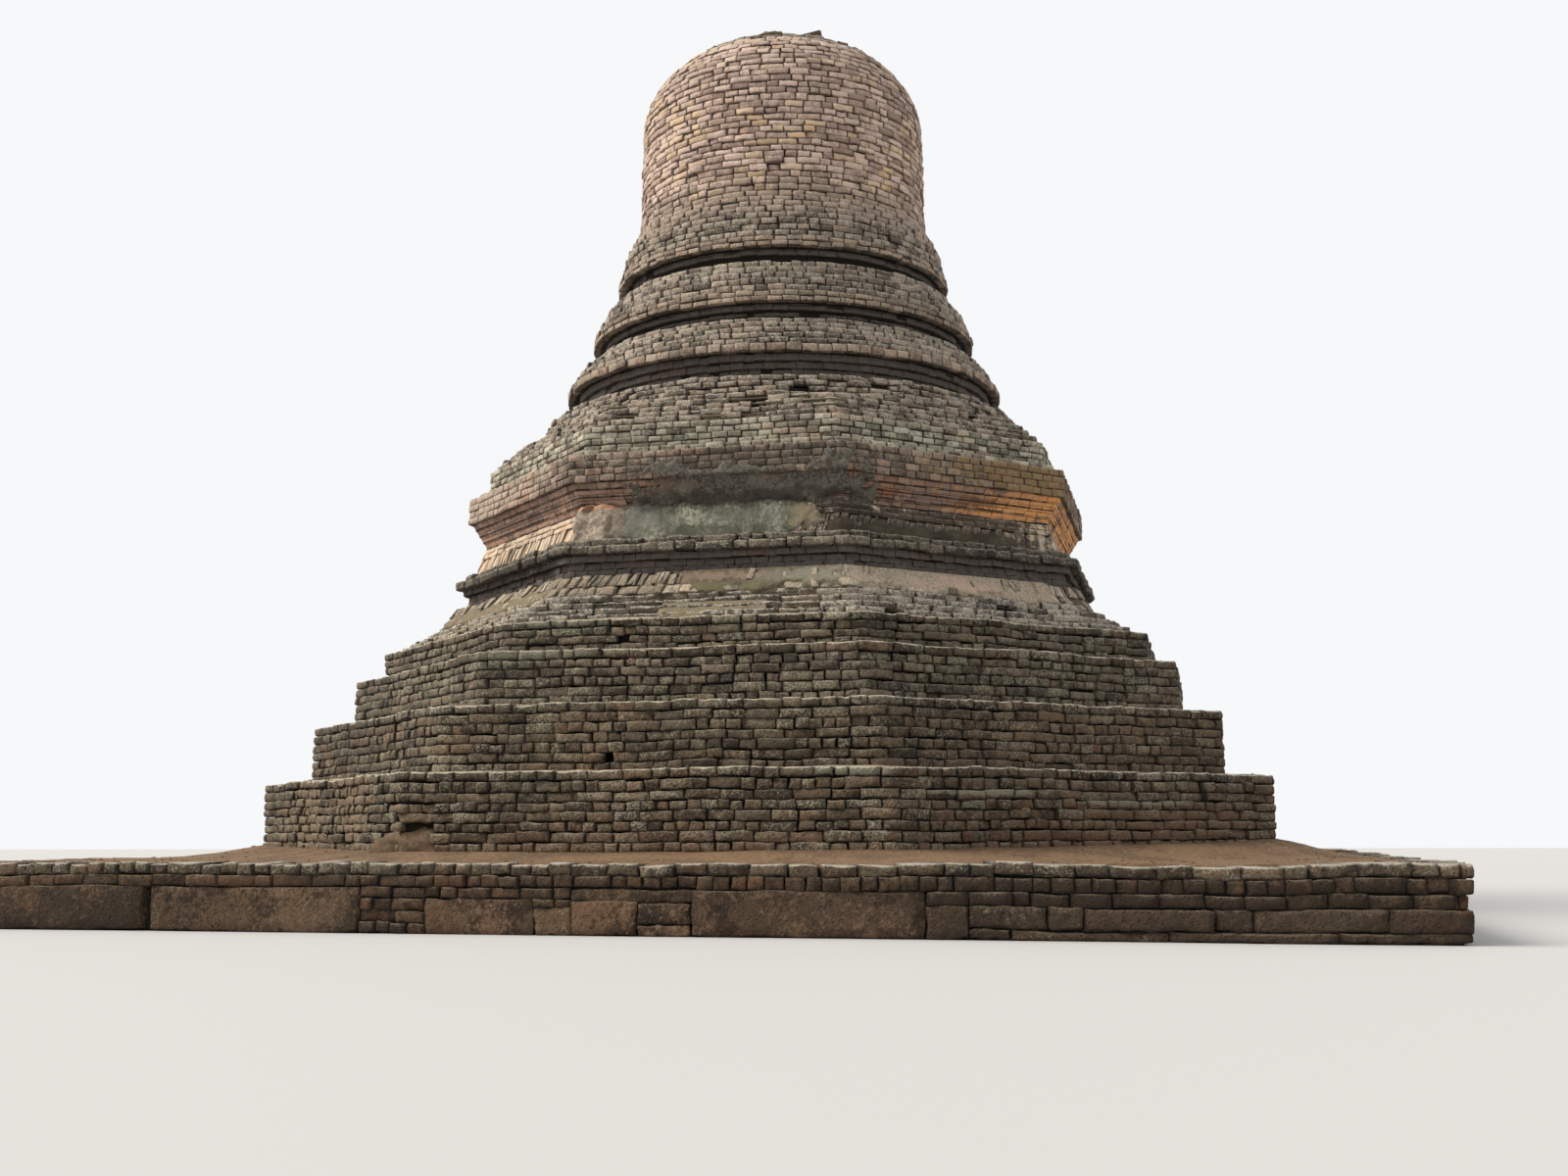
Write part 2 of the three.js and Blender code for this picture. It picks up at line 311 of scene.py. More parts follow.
@dataclass(frozen=True)
class Masonry(Finish):
    """Finish of weathered blocks, each with a tone of its own.

    The covers go from 0 to 1 and say how much of the face a tone takes: warm and cool stone, black
    crust, lichen, dust and painted skylight on what faces up, pale upper edges of lichen and painted
    highlight, and painted bounce light on the undersides. odd is the share of blocks that are warm or
    cool throughout, lichen_and_highlight_rim_low the share of a block's height where its pale edge
    starts, seam_shade how dark the joints are, with their fill and painted shade in the gaps, upright how
    much finer the upright joints are than the level ones, contrast how wide the range from dark to light
    is, and blotches how much the tone drifts along the wall.
    """

    dark: Triple
    light: Triple
    warm: Triple
    cool: Triple
    crust: Triple = (0.02, 0.018, 0.015)
    lichen: Triple = (0.3, 0.3, 0.22)
    dust_and_skylight: Triple = (0.36, 0.31, 0.23)
    crumble: Triple = (0.2, 0.145, 0.092)
    # Colour of the joints: their dark fill, together with painted shade in the gaps.
    joint: Triple = (0.014, 0.011, 0.008)
    bounce_lit_underside: Triple = (0.3, 0.125, 0.055)
    warm_cover: float = 0.35
    cool_cover: float = 0.5
    crust_cover: float = 0.35
    lichen_cover: float = 0.4
    dust_and_skylight_cover: float = 0.8
    lichen_and_highlight_rim_cover: float = 0.35
    lichen_and_highlight_rim_low: float = 0.72
    bounce_lit_underside_cover: float = 0.0
    warm_below: float = 0.0
    blocky: float = 0.16
    odd: float = 0.07
    seam_shade: float = 0.6
    upright: float = 1.0
    contrast: float = 0.13
    blotches: float = 0.25
    grain: float = 18.0
    gap: float = 0.019
    pits: float = 0.8
    coarse: float = 0.05
    tone_patches: tuple[TonePatch, ...] = ()

    def _surface(self, graph: Graph, place: Wire) -> dict[str, object]:
        """Tones and relief of the blocks."""
        fine = graph.noise(place, 7.0, 6, 0.7)
        colour = self._colour(graph, place, fine)
        relief = self._relief(graph, place, fine)
        return {"Base Color": colour, "Normal": relief, "Roughness": 0.93, "Specular IOR Level": 0.25}

    def _colour(self, graph: Graph, place: Wire, fine: Wire) -> Wire:
        """Stone tones, then what has grown and gathered on them, with painted light on tops, upper edges
        and undersides, then the dark of the joints with painted shade in the gaps.
        """
        shade = graph.attribute("shade")
        corner = graph.attribute("corner", "Vector")
        patch = graph.noise(place, 0.9, 4, 0.6)
        grain = graph.noise(place, self.grain, 4, 0.75)
        stone = self._stone(graph, place, shade, (patch, fine, grain))
        stone = self._weather(graph, place, shade, (patch, fine, grain), stone)
        level = graph.axis(corner, "Z")
        # Pale upper edge of each block in the lichen colour: partly lichen, partly painted highlight where
        # light falls from above.
        upper = graph.step(level + (fine - 0.5) * 0.9, self.lichen_and_highlight_rim_low, self.lichen_and_highlight_rim_low + 0.28)
        rim = upper * graph.step(grain, 0.38, 0.58) * self.lichen_and_highlight_rim_cover
        stone = graph.mix(rim, stone, self.lichen)
        up = graph.axis(graph.add("ShaderNodeNewGeometry", output="Normal"), "Z")
        # Faces that look up turn pale: partly dust, partly painted skylight on the tops.
        dust_and_skylight_mask = graph.step(up + (grain - 0.5) * 0.9, 0.35, 0.85) * self.dust_and_skylight_cover
        stone = graph.mix(dust_and_skylight_mask, stone, self.dust_and_skylight)
        # Faces that look down take a warm tone: painted bounce light from the ground.
        if self.bounce_lit_underside_cover:
            below = graph.step(up + (patch - 0.5) * 1.2, 0.0, -0.5) * self.bounce_lit_underside_cover
            stone = graph.mix(below, stone, self.bounce_lit_underside)
        return graph.mix(self._joint_fill_and_shade(graph, place, corner, (fine, up)), stone, self.joint)

    def _stone(self, graph: Graph, place: Wire, shade: Wire, clouds: tuple[Wire, Wire, Wire]) -> Wire:
        """The stone's own tones, by block, by patch and by grain."""
        patch, fine, grain = clouds
        mottled = fine * 0.55 + grain * 0.45 + (patch - 0.5) * self.blotches + (shade - 0.5) * self.blocky
        tone = graph.step(mottled, 0.51 - self.contrast, 0.51 + self.contrast)
        stone = graph.mix(tone, self.dark, self.light)
        second = graph.math("FRACT", shade * 7.31)
        third = graph.math("FRACT", shade * 13.7)
        cool = graph.noise(place, 0.5, 3) * 0.55 + fine * 0.3 + second * 0.15
        cool = self._share(graph, cool, self.cool_cover, 0.14)
        stone = graph.mix(graph.math("MAXIMUM", cool, self._picked(graph, second)) * 0.7, stone, self.cool)
        warmth = patch * 0.5 + fine * 0.3 + third * 0.2
        if self.warm_below:
            height = graph.axis(place, "Z") + (patch - 0.5) * 1.6
            warmth = warmth + graph.step(height, self.warm_below, self.warm_below - 1.0) * 0.16
        warmth = self._share(graph, warmth, self.warm_cover, 0.12)
        return graph.mix(graph.math("MAXIMUM", warmth, self._picked(graph, third)) * 0.75, stone, self.warm)

    def _picked(self, graph: Graph, number: Wire) -> Wire:
        """How much a block's random number makes it one of the odd ones."""
        return graph.step(number, 1.0 - self.odd, 1.0 + self.odd) * 0.9

    def _weather(
        self, graph: Graph, place: Wire, shade: Wire, clouds: tuple[Wire, Wire, Wire], stone: Wire
    ) -> Wire:
        """Black crust, specks of lichen, crumbled places and patches of another tone over the stone:
        stained places, and in some finishes painted shade and light.
        """
        patch, fine, grain = clouds
        worn = graph.attribute("worn")
        fourth = graph.math("FRACT", shade * 23.9)
        sooty = graph.noise(place, 2.6, 4, 0.65) * 0.5 + fine * 0.4 + fourth * 0.1
        stone = graph.mix(self._share(graph, sooty, self.crust_cover, 0.07) * 0.8, stone, self.crust)
        specks = graph.noise(place, self.grain * 1.4, 3, 0.8)
        speckle = specks * 0.55 + fine * 0.2 + patch * 0.15 + fourth * 0.1
        stone = graph.mix(self._share(graph, speckle, self.lichen_cover, 0.035) * 0.8, stone, self.lichen)
        crumbled = graph.step(worn + (fine - 0.5) * 1.6 + (grain - 0.5) * 0.5, 0.45, 0.8) * 0.8
        stone = graph.mix(crumbled, stone, self.crumble)
        for stain in self.tone_patches:
            stone = graph.mix(graph.blot(place, stain, fine), stone, stain.tone)
        return stone

    def _joint_fill_and_shade(self, graph: Graph, place: Wire, corner: Wire, clouds: tuple[Wire, Wire]) -> Wire:
        """The dark of the joints, partly their fill and partly painted shade in the gaps, which eats
        raggedly into the edges of the blocks and fades in places.

        The tops of the blocks are open to the sky, so only the gaps beside them are dark there.
        """
        fine, up = clouds
        open_top = graph.step(up, 0.45, 0.8)
        size = graph.attribute("size", "Vector")
        level = graph.axis(corner, "Z")
        beside = 0.5 - graph.math("ABSOLUTE", graph.axis(corner, "X"))
        beside = beside * graph.axis(size, "X") * self.upright
        across = graph.math("MINIMUM", level * 0.8, 1.05 - level) * graph.axis(size, "Z") + open_top
        edge = graph.math("MINIMUM", beside, across) + (fine - 0.42) * self.gap * 2.5
        # Sides of a block inside the gaps take the joint colour: painted shade.
        sunk = graph.step(graph.axis(corner, "Y"), 0.97, 0.5) * (1.0 - open_top)
        faded = graph.step(graph.noise(place, 2.1, 3), 0.32, 0.62)
        dark = graph.step(edge, self.gap, 0.0) * (0.25 + 0.75 * faded) * self.seam_shade
        return graph.math("MAXIMUM", sunk, dark)

    @staticmethod
    def _share(graph: Graph, value: Wire, cover: float, soft: float = 0.08) -> Wire:
        """Where a noisy value is among the highest, as wide as the cover says."""
        edge = 0.76 - 0.44 * cover
        return graph.step(value, edge - soft, edge + soft)

    def _relief(self, graph: Graph, place: Wire, fine: Wire) -> Wire:
        """Pits and grain of the stone."""
        cells = graph.add("ShaderNodeTexVoronoi", {}, {"Vector": place, "Scale": 17.0})
        height = graph.step(cells, 0.05, 0.5) * 0.35 + fine + graph.noise(place, 22.0, 4, 0.7) * 0.5
        return graph.bump(height, self.pits, self.coarse)


@dataclass(frozen=True)
class Rough(Finish):
    """Finish of earth, mortar or plaster: tones that run into each other, with flecks in them.

    contrast is how softly main and second run into each other, and the lower the crisper.
    """

    main: Triple
    second: Triple
    stain: Triple
    fleck: Triple = (0.3, 0.28, 0.22)
    scale: float = 2.0
    stain_cover: float = 0.4
    fleck_cover: float = 0.1
    contrast: float = 0.155
    relief: float = 0.6
    coarse: float = 0.03
    streaks: bool = False
    tone_patches: tuple[TonePatch, ...] = ()

    def _surface(self, graph: Graph, place: Wire) -> dict[str, object]:
        """Tones and relief of the coat."""
        fine = graph.noise(place, self.scale * 9, 6, 0.72)
        patch = graph.noise(place, self.scale, 4)
        if self.streaks:
            run = graph.vector("MULTIPLY", place, (5.0, 5.0, 0.7))
            patch = patch * 0.5 + graph.noise(run, 1.0, 4) * 0.5
        tone = graph.step(fine, 0.505 - self.contrast, 0.505 + self.contrast)
        colour = graph.mix(tone, self.main, self.second)
        edge = 0.6 - 0.36 * self.stain_cover
        stained = graph.step(patch * 0.65 + fine * 0.35, edge, edge + 0.16)
        colour = graph.mix(stained * 0.85, colour, self.stain)
        flecks = graph.noise(place, self.scale * 23, 2) * 0.8 + patch * 0.2
        edge = 0.78 - 0.36 * self.fleck_cover
        colour = graph.mix(graph.step(flecks, edge - 0.04, edge + 0.03), colour, self.fleck)
        for stain in self.tone_patches:
            colour = graph.mix(graph.blot(place, stain, fine), colour, stain.tone)
        relief = graph.bump(fine, self.relief, self.coarse)
        return {"Base Color": colour, "Normal": relief, "Roughness": 0.95, "Specular IOR Level": 0.2}


# Orange of the corbels at the right end: partly orange brick, partly painted glow of bounce light.
ORANGE_STAIN_AND_BOUNCE_GLOW = (0.86, 0.38, 0.11)
PLAIN_LATERITE = Masonry(
    name="plain_laterite", slot=Slot.LATERITE, dark=(0.036, 0.0255, 0.0165), light=(0.158, 0.113, 0.073),
    warm=(0.18, 0.104, 0.059), cool=(0.092, 0.08, 0.053), lichen=(0.31, 0.29, 0.205), cool_cover=0.45,
    crust_cover=0.4, lichen_cover=0.45, contrast=0.115, seam_shade=0.8, gap=0.025, pits=1.0, coarse=0.06,
    lichen_and_highlight_rim_cover=0.15, dust_and_skylight_cover=0.35, odd=0.12, upright=1.6,
)
LATERITE = replace(
    PLAIN_LATERITE, name="weathered_laterite", warm_below=2.0,
    tone_patches=(
        TonePatch((8.4, -6.4, 2.4), (5.0, 4.4, 2.6), (0.16, 0.108, 0.07), 0.3),
        TonePatch((8.0, -7.0, 1.55), (4.4, 4.4, 0.55), (0.155, 0.088, 0.052), 0.55),
        TonePatch((-1.0, -10.7, 1.4), (3.6, 0.8, 0.34), (0.17, 0.1, 0.058), 0.4),
        TonePatch((5.9, -9.3, 2.28), (1.4, 1.4, 0.07), (0.25, 0.24, 0.17), 0.7),
        TonePatch((8.2, -6.9, 2.11), (1.4, 1.4, 0.06), (0.23, 0.22, 0.155), 0.55),
    ),
)
# Cap stones: a thin pale top edge and pale tops, partly dust and lichen, partly painted highlight from
# above.
CAP_LATERITE = replace(
    PLAIN_LATERITE, name="cap_laterite", light=(0.16, 0.12, 0.08), dust_and_skylight=(0.45, 0.4, 0.31), lichen_and_highlight_rim_cover=0.9,
    lichen_and_highlight_rim_low=0.9, dust_and_skylight_cover=1.0,
    tone_patches=(
        TonePatch((-2.6, -9.0, 4.9), (1.5, 0.6, 0.12), (0.21, 0.215, 0.155), 0.55),
        TonePatch((-2.4, -8.4, 5.52), (0.9, 0.6, 0.1), (0.2, 0.205, 0.15), 0.5),
        TonePatch((3.6, -10.6, 2.6), (0.9, 0.9, 0.12), (0.24, 0.235, 0.17), 0.5),
    ),
)
# Paler copy for the two upper terraces: partly more lichen, partly painted haze light.
HIGH_LATERITE = replace(
    PLAIN_LATERITE, name="high_laterite", dark=(0.048, 0.037, 0.026), light=(0.19, 0.148, 0.103),
    cool=(0.11, 0.098, 0.07), warm_cover=0.25,
)
WALL_LATERITE = replace(
    PLAIN_LATERITE, name="wall_laterite", dark=(0.032, 0.0185, 0.0105), light=(0.108, 0.064, 0.036),
    warm=(0.12, 0.06, 0.031), cool=(0.052, 0.04, 0.026), dust_and_skylight=(0.22, 0.17, 0.11), lichen_cover=0.25,
    crust_cover=0.35, lichen_and_highlight_rim_cover=0.1, dust_and_skylight_cover=0.5, warm_cover=0.5,
    # Right end of the wall darkened: partly damp, partly painted shade of trees.
    tone_patches=(TonePatch((8.6, -13.0, 0.45), (5.4, 1.2, 0.8), (0.028, 0.019, 0.012), 0.85),),
)
SLAB_LATERITE = replace(
    WALL_LATERITE, name="slab_laterite", dark=(0.053, 0.031, 0.018), light=(0.245, 0.149, 0.085),
    lichen=(0.27, 0.195, 0.12), lichen_cover=0.42, crust_cover=0.42, contrast=0.08, blotches=0.6,
    grain=9.0, coarse=0.13, seam_shade=0.55, gap=0.014,
    tone_patches=(
        TonePatch((-2.5, -13.0, 0.3), (0.6, 0.5, 0.4), (0.17, 0.1, 0.055), 0.7),
        TonePatch((-0.7, -13.0, 0.15), (0.4, 0.5, 0.22), (0.17, 0.115, 0.07), 0.6),
        TonePatch((-6.6, -13.0, 0.4), (1.3, 0.5, 0.5), (0.03, 0.019, 0.012), 0.35),
        TonePatch((-5.0, -13.0, 0.2), (0.9, 0.5, 0.24), (0.19, 0.13, 0.08), 0.4),
        TonePatch((3.6, -13.0, 0.3), (2.0, 0.5, 0.4), (0.2, 0.13, 0.08), 0.3),
        # Right end of the slabs darkened: partly damp, partly painted shade of trees.
        TonePatch((9.8, -13.0, 0.3), (4.6, 0.5, 0.6), (0.06, 0.042, 0.029), 0.75),
    ),
)
COPING_LATERITE = replace(
    PLAIN_LATERITE, name="coping_laterite", dark=(0.036, 0.0245, 0.0155), light=(0.142, 0.1, 0.063),
    cool=(0.096, 0.09, 0.06), lichen=(0.27, 0.24, 0.165), dust_and_skylight=(0.36, 0.32, 0.26), dust_and_skylight_cover=1.0,
    lichen_and_highlight_rim_cover=0.4, lichen_and_highlight_rim_low=0.82, blocky=0.12, odd=0.25,
)
LIP_LATERITE = replace(
    PLAIN_LATERITE, name="lip_laterite", dark=(0.045, 0.035, 0.027), light=(0.195, 0.16, 0.118),
    warm=(0.19, 0.13, 0.087), cool=(0.13, 0.115, 0.083), lichen=(0.36, 0.325, 0.25),
    dust_and_skylight=(0.3, 0.265, 0.195), crust_cover=0.45, warm_cover=0.2, lichen_and_highlight_rim_cover=0.6, coarse=0.09, gap=0.015,
    seam_shade=0.6, tone_patches=(TonePatch((-4.6, -5.6, 7.15), (2.6, 2.6, 0.12), (0.035, 0.028, 0.022), 0.7),),
)
# Slope stones: wide dark seams painted as the shadow under each course, and pale tops of lichen and painted
# highlight.
SLOPE_LATERITE = replace(
    LIP_LATERITE, name="slope_laterite", dark=(0.085, 0.07, 0.054), light=(0.53, 0.455, 0.36),
    warm=(0.31, 0.22, 0.15), cool=(0.26, 0.232, 0.178), lichen=(0.6, 0.55, 0.46), dust_and_skylight=(0.5, 0.45, 0.36),
    crust_cover=0.3, lichen_and_highlight_rim_cover=0.8, seam_shade=0.95, gap=0.03,
    tone_patches=(
        TonePatch((0.4, -7.7, 5.95), (1.7, 0.8, 0.3), (0.14, 0.115, 0.065), 0.6),
        TonePatch((-0.6, -7.7, 5.95), (3.4, 0.8, 0.45), (0.074, 0.061, 0.045), 0.8),
        TonePatch((-5.6, -5.6, 5.95), (2.6, 2.6, 0.5), (0.21, 0.165, 0.1), 0.7),
    ),
)
LOTUS_BRICK = replace(
    LIP_LATERITE, name="lotus_brick", dark=(0.3, 0.24, 0.175), light=(0.66, 0.545, 0.41),
    warm=(0.6, 0.39, 0.26), cool=(0.4, 0.345, 0.26), dust_and_skylight=(0.4, 0.335, 0.22), blocky=0.25, odd=0.25,
    lichen_and_highlight_rim_cover=0.1, gap=0.012,
    tone_patches=(
        TonePatch((-5.6, -4.6, 6.35), (2.6, 2.6, 0.3), (0.24, 0.185, 0.12), 0.2),
        TonePatch((-1.9, -7.1, 6.4), (1.5, 0.6, 0.3), (0.2, 0.16, 0.115), 0.55),
    ),
)
SHADED_BRICK = Masonry(
    name="shaded_brick", slot=Slot.DARK_LATERITE, dark=(0.068, 0.055, 0.047),
    light=(0.148, 0.122, 0.106), warm=(0.14, 0.095, 0.072), cool=(0.108, 0.095, 0.084),
    joint=(0.03, 0.024, 0.02), lichen_cover=0.05, crust_cover=0.2, lichen_and_highlight_rim_cover=0.0, dust_and_skylight_cover=0.5,
    contrast=0.22, blocky=0.06, odd=0.03, seam_shade=0.08, gap=0.007,
    tone_patches=(TonePatch((-5.4, -5.0, 7.0), (3.0, 3.0, 0.4), (0.04, 0.032, 0.026), 0.7),),
)
# Lighter copy of the shaded brick for the foot course of each undercut: painted skylight.
SKYLIT_UNDERCUT_BRICK = replace(
    SHADED_BRICK, name="undercut_brick", dark=(0.12, 0.075, 0.058), light=(0.25, 0.17, 0.135), odd=0.15,
    seam_shade=0.4, tone_patches=(),
)
NECK_BRICK = Masonry(
    name="neck_brick", slot=Slot.BRICK, dark=(0.33, 0.25, 0.178), light=(0.6, 0.47, 0.345),
    warm=(0.64, 0.4, 0.235), cool=(0.54, 0.45, 0.34), joint=(0.1, 0.068, 0.045), crust_cover=0.2,
    lichen_cover=0.25, lichen_and_highlight_rim_cover=0.0, blocky=0.3, odd=0.3, pits=0.6, gap=0.01,
    tone_patches=(
        TonePatch((4.5, -5.2, 7.7), (5.0, 3.0, 0.8), (0.04, 0.032, 0.025), 0.92),
        TonePatch((2.8, -6.3, 7.7), (1.3, 0.9, 0.8), (0.035, 0.028, 0.022), 0.9),
        TonePatch((-6.4, -1.8, 7.6), (1.4, 1.8, 0.4), (0.62, 0.38, 0.2), 0.5),
    ),
)
CORBEL_BRICK = Masonry(
    name="corbel_brick", slot=Slot.BRICK, dark=(0.11, 0.072, 0.056), light=(0.34, 0.225, 0.165),
    warm=(0.42, 0.19, 0.11), cool=(0.2, 0.15, 0.13), joint=(0.045, 0.028, 0.021),
    bounce_lit_underside=(0.4, 0.27, 0.2), warm_cover=0.4, lichen_cover=0.2, lichen_and_highlight_rim_cover=0.0, dust_and_skylight_cover=0.0,
    bounce_lit_underside_cover=0.35, contrast=0.1, blocky=0.35, odd=0.4, seam_shade=0.8, gap=0.01,
    tone_patches=(
        TonePatch((1.2, -6.75, 8.4), (3.0, 1.4, 0.5), (0.045, 0.038, 0.03), 0.85),
        # Right end of the corbels: orange brick brightened with painted bounce light.
        TonePatch((6.3, -3.2, 8.3), (2.4, 2.6, 0.33), ORANGE_STAIN_AND_BOUNCE_GLOW, 0.85),
        TonePatch((6.8, 0.5, 8.3), (1.2, 3.2, 0.36), ORANGE_STAIN_AND_BOUNCE_GLOW, 0.85),
        TonePatch((5.4, -4.6, 8.32), (1.1, 1.0, 0.18), (0.07, 0.035, 0.022), 0.85),
        TonePatch((4.2, -6.0, 8.2), (1.2, 0.9, 0.16), (0.06, 0.032, 0.02), 0.85),
        TonePatch((3.9, -6.5, 8.5), (1.0, 0.9, 0.3), (0.34, 0.12, 0.045), 0.7),
        # Orange at the left end of the corbels: partly brick colour, partly painted bounce light from the
        # ground.
        TonePatch((-6.1, -2.9, 8.2), (0.9, 1.2, 0.24), (0.5, 0.27, 0.16), 0.45),
        TonePatch((-4.9, -4.7, 8.3), (1.5, 1.5, 0.3), (0.16, 0.115, 0.105), 0.5),
        TonePatch((-3.9, -5.6, 8.45), (1.0, 1.0, 0.14), (0.1, 0.065, 0.06), 0.6),
        TonePatch((-5.3, -4.3, 8.5), (1.6, 1.6, 0.09), (0.15, 0.09, 0.07), 0.6),
        # Pale orange along the lowest corbel course on the left: painted highlight of bounce light.
        TonePatch((-4.6, -5.0, 8.12), (1.6, 1.6, 0.07), (0.58, 0.36, 0.24), 0.6),
    ),
)
BODY_BRICK = Masonry(
    name="body_brick", slot=Slot.BRICK, dark=(0.095, 0.066, 0.05), light=(0.33, 0.24, 0.178),
    warm=(0.36, 0.19, 0.12), cool=(0.215, 0.18, 0.14), joint=(0.025, 0.018, 0.014),
    lichen=(0.36, 0.33, 0.25), crust_cover=0.4, lichen_and_highlight_rim_cover=0.15, blocky=0.24, odd=0.25, seam_shade=0.75,
    gap=0.013, pits=0.6,
    tone_patches=(
        TonePatch((0.9, -6.76, 8.85), (3.2, 0.8, 0.4), (0.05, 0.044, 0.034), 0.7),
        TonePatch((6.3, -3.2, 8.9), (2.8, 3.0, 0.5), (0.2, 0.125, 0.045), 0.7),
        # Left side of the cornice lightened: painted light falling from the left and from the ground.
        TonePatch((-5.8, -3.4, 8.95), (2.6, 3.0, 0.5), (0.5, 0.38, 0.3), 0.5),
    ),
)
STEP_BRICK = replace(
    BODY_BRICK, name="step_brick", dark=(0.14, 0.115, 0.088), light=(0.5, 0.45, 0.35),
    cool=(0.34, 0.335, 0.25), dust_and_skylight=(0.4, 0.36, 0.26), crust_cover=0.45, warm_cover=0.25,
    tone_patches=(TonePatch((0.5, -6.6, 9.5), (3.0, 1.6, 0.35), (0.08, 0.07, 0.05), 0.25),),
)
MOSSY_BRICK = replace(
    PLAIN_LATERITE, name="mossy_brick", dark=(0.098, 0.077, 0.059), light=(0.39, 0.315, 0.245),
    warm=(0.38, 0.25, 0.175), cool=(0.235, 0.2, 0.15), lichen=(0.46, 0.415, 0.335),
    dust_and_skylight=(0.3, 0.265, 0.19), warm_cover=0.3, lichen_and_highlight_rim_cover=0.5, blocky=0.22, odd=0.2,
    tone_patches=(TonePatch((0.0, 0.0, 15.55), (8.0, 8.0, 0.5), (0.42, 0.31, 0.24), 0.6),),
)
RING_LIP_BRICK = replace(
    MOSSY_BRICK, name="ring_lip_brick", dark=(0.17, 0.125, 0.093), light=(0.42, 0.325, 0.245),
    warm=(0.42, 0.27, 0.18), cool=(0.3, 0.25, 0.19), crust_cover=0.3, lichen_cover=0.3, lichen_and_highlight_rim_cover=0.3,
    gap=0.014, tone_patches=(),
)
BELL_BRICK = Masonry(
    name="worn_bell_brick", slot=Slot.BELL_BRICK, dark=(0.245, 0.168, 0.132), light=(0.57, 0.43, 0.35),
    warm=(0.66, 0.46, 0.22), cool=(0.4, 0.3, 0.25), lichen=(0.62, 0.53, 0.42),
    joint=(0.11, 0.068, 0.053), warm_cover=0.3, crust_cover=0.15, lichen_cover=0.3, lichen_and_highlight_rim_cover=0.3,
    dust_and_skylight_cover=0.4, blocky=0.26, odd=0.3, seam_shade=0.85, gap=0.016, pits=0.6,
    tone_patches=(TonePatch((0.0, 0.0, 15.65), (8.0, 8.0, 0.6), (0.2, 0.16, 0.12), 0.6),),
)
# Near black, so that the core seen through holes and gaps reads as deep shadow: painted shade.
SHADOW_DARK_MORTAR = Rough(
    name="dark_mortar", slot=Slot.LATERITE, main=(0.01, 0.008, 0.006), second=(0.025, 0.02, 0.015),
    stain=(0.016, 0.014, 0.01), fleck=(0.06, 0.05, 0.035),
)
RED_MORTAR = replace(
    SHADOW_DARK_MORTAR, name="red_mortar", slot=Slot.BRICK, main=(0.02, 0.013, 0.01), second=(0.05, 0.032, 0.023),
)
JOINT_SOIL = replace(
    SHADOW_DARK_MORTAR, name="joint_soil", main=(0.13, 0.1, 0.068), second=(0.075, 0.057, 0.04),
)
EARTH = Rough(
    name="trodden_earth", slot=Slot.EARTH, main=(0.2, 0.125, 0.067), second=(0.13, 0.079, 0.043),
    stain=(0.1, 0.06, 0.034), fleck=(0.5, 0.43, 0.31), scale=1.1, stain_cover=0.45, fleck_cover=0.3,
    relief=0.9,
)
DRIFT = replace(
    EARTH, name="drifted_soil", main=(0.2, 0.155, 0.1), second=(0.12, 0.09, 0.06),
    stain=(0.08, 0.07, 0.042), fleck=(0.42, 0.36, 0.26), scale=1.8, fleck_cover=0.4,
)
RED_SOIL = replace(
    DRIFT, name="red_soil", main=(0.16, 0.1, 0.06), second=(0.09, 0.058, 0.036), fleck_cover=0.15,
)
DARK_SOIL = replace(
    DRIFT, name="dark_soil", main=(0.062, 0.046, 0.035), second=(0.034, 0.026, 0.02), fleck_cover=0.25,
)
PALE_DUST = replace(
    DRIFT, name="pale_dust", main=(0.36, 0.3, 0.215), second=(0.22, 0.175, 0.12),
    stain=(0.15, 0.12, 0.08), fleck=(0.6, 0.54, 0.43),
)
OLIVE_SOIL = replace(
    DRIFT, name="olive_soil", main=(0.19, 0.148, 0.1), second=(0.125, 0.097, 0.065),
    stain=(0.15, 0.126, 0.068),
)
MOSSY_SOIL = replace(
    DRIFT, name="mossy_soil", main=(0.16, 0.132, 0.09), second=(0.09, 0.074, 0.051),
    stain=(0.085, 0.075, 0.045), fleck=(0.3, 0.27, 0.2), fleck_cover=0.3,
)
RUBBLE = replace(
    DRIFT, name="brick_rubble", main=(0.36, 0.26, 0.19), second=(0.2, 0.15, 0.11), scale=4.0,
)
CRUST = Rough(
    name="black_crust", slot=Slot.LATERITE, main=(0.165, 0.148, 0.12), second=(0.047, 0.04, 0.033),
    stain=(0.22, 0.205, 0.155), fleck=(0.34, 0.32, 0.23), scale=1.9, stain_cover=0.3, fleck_cover=0.3,
    contrast=0.12, relief=0.8, coarse=0.07,
    tone_patches=(
        TonePatch((-1.0, -6.6, 8.5), (0.8, 0.6, 0.14), (0.2, 0.12, 0.08), 0.5),
        TonePatch((0.6, -6.6, 8.2), (2.6, 0.6, 0.16), (0.04, 0.034, 0.027), 0.7),
    ),
)
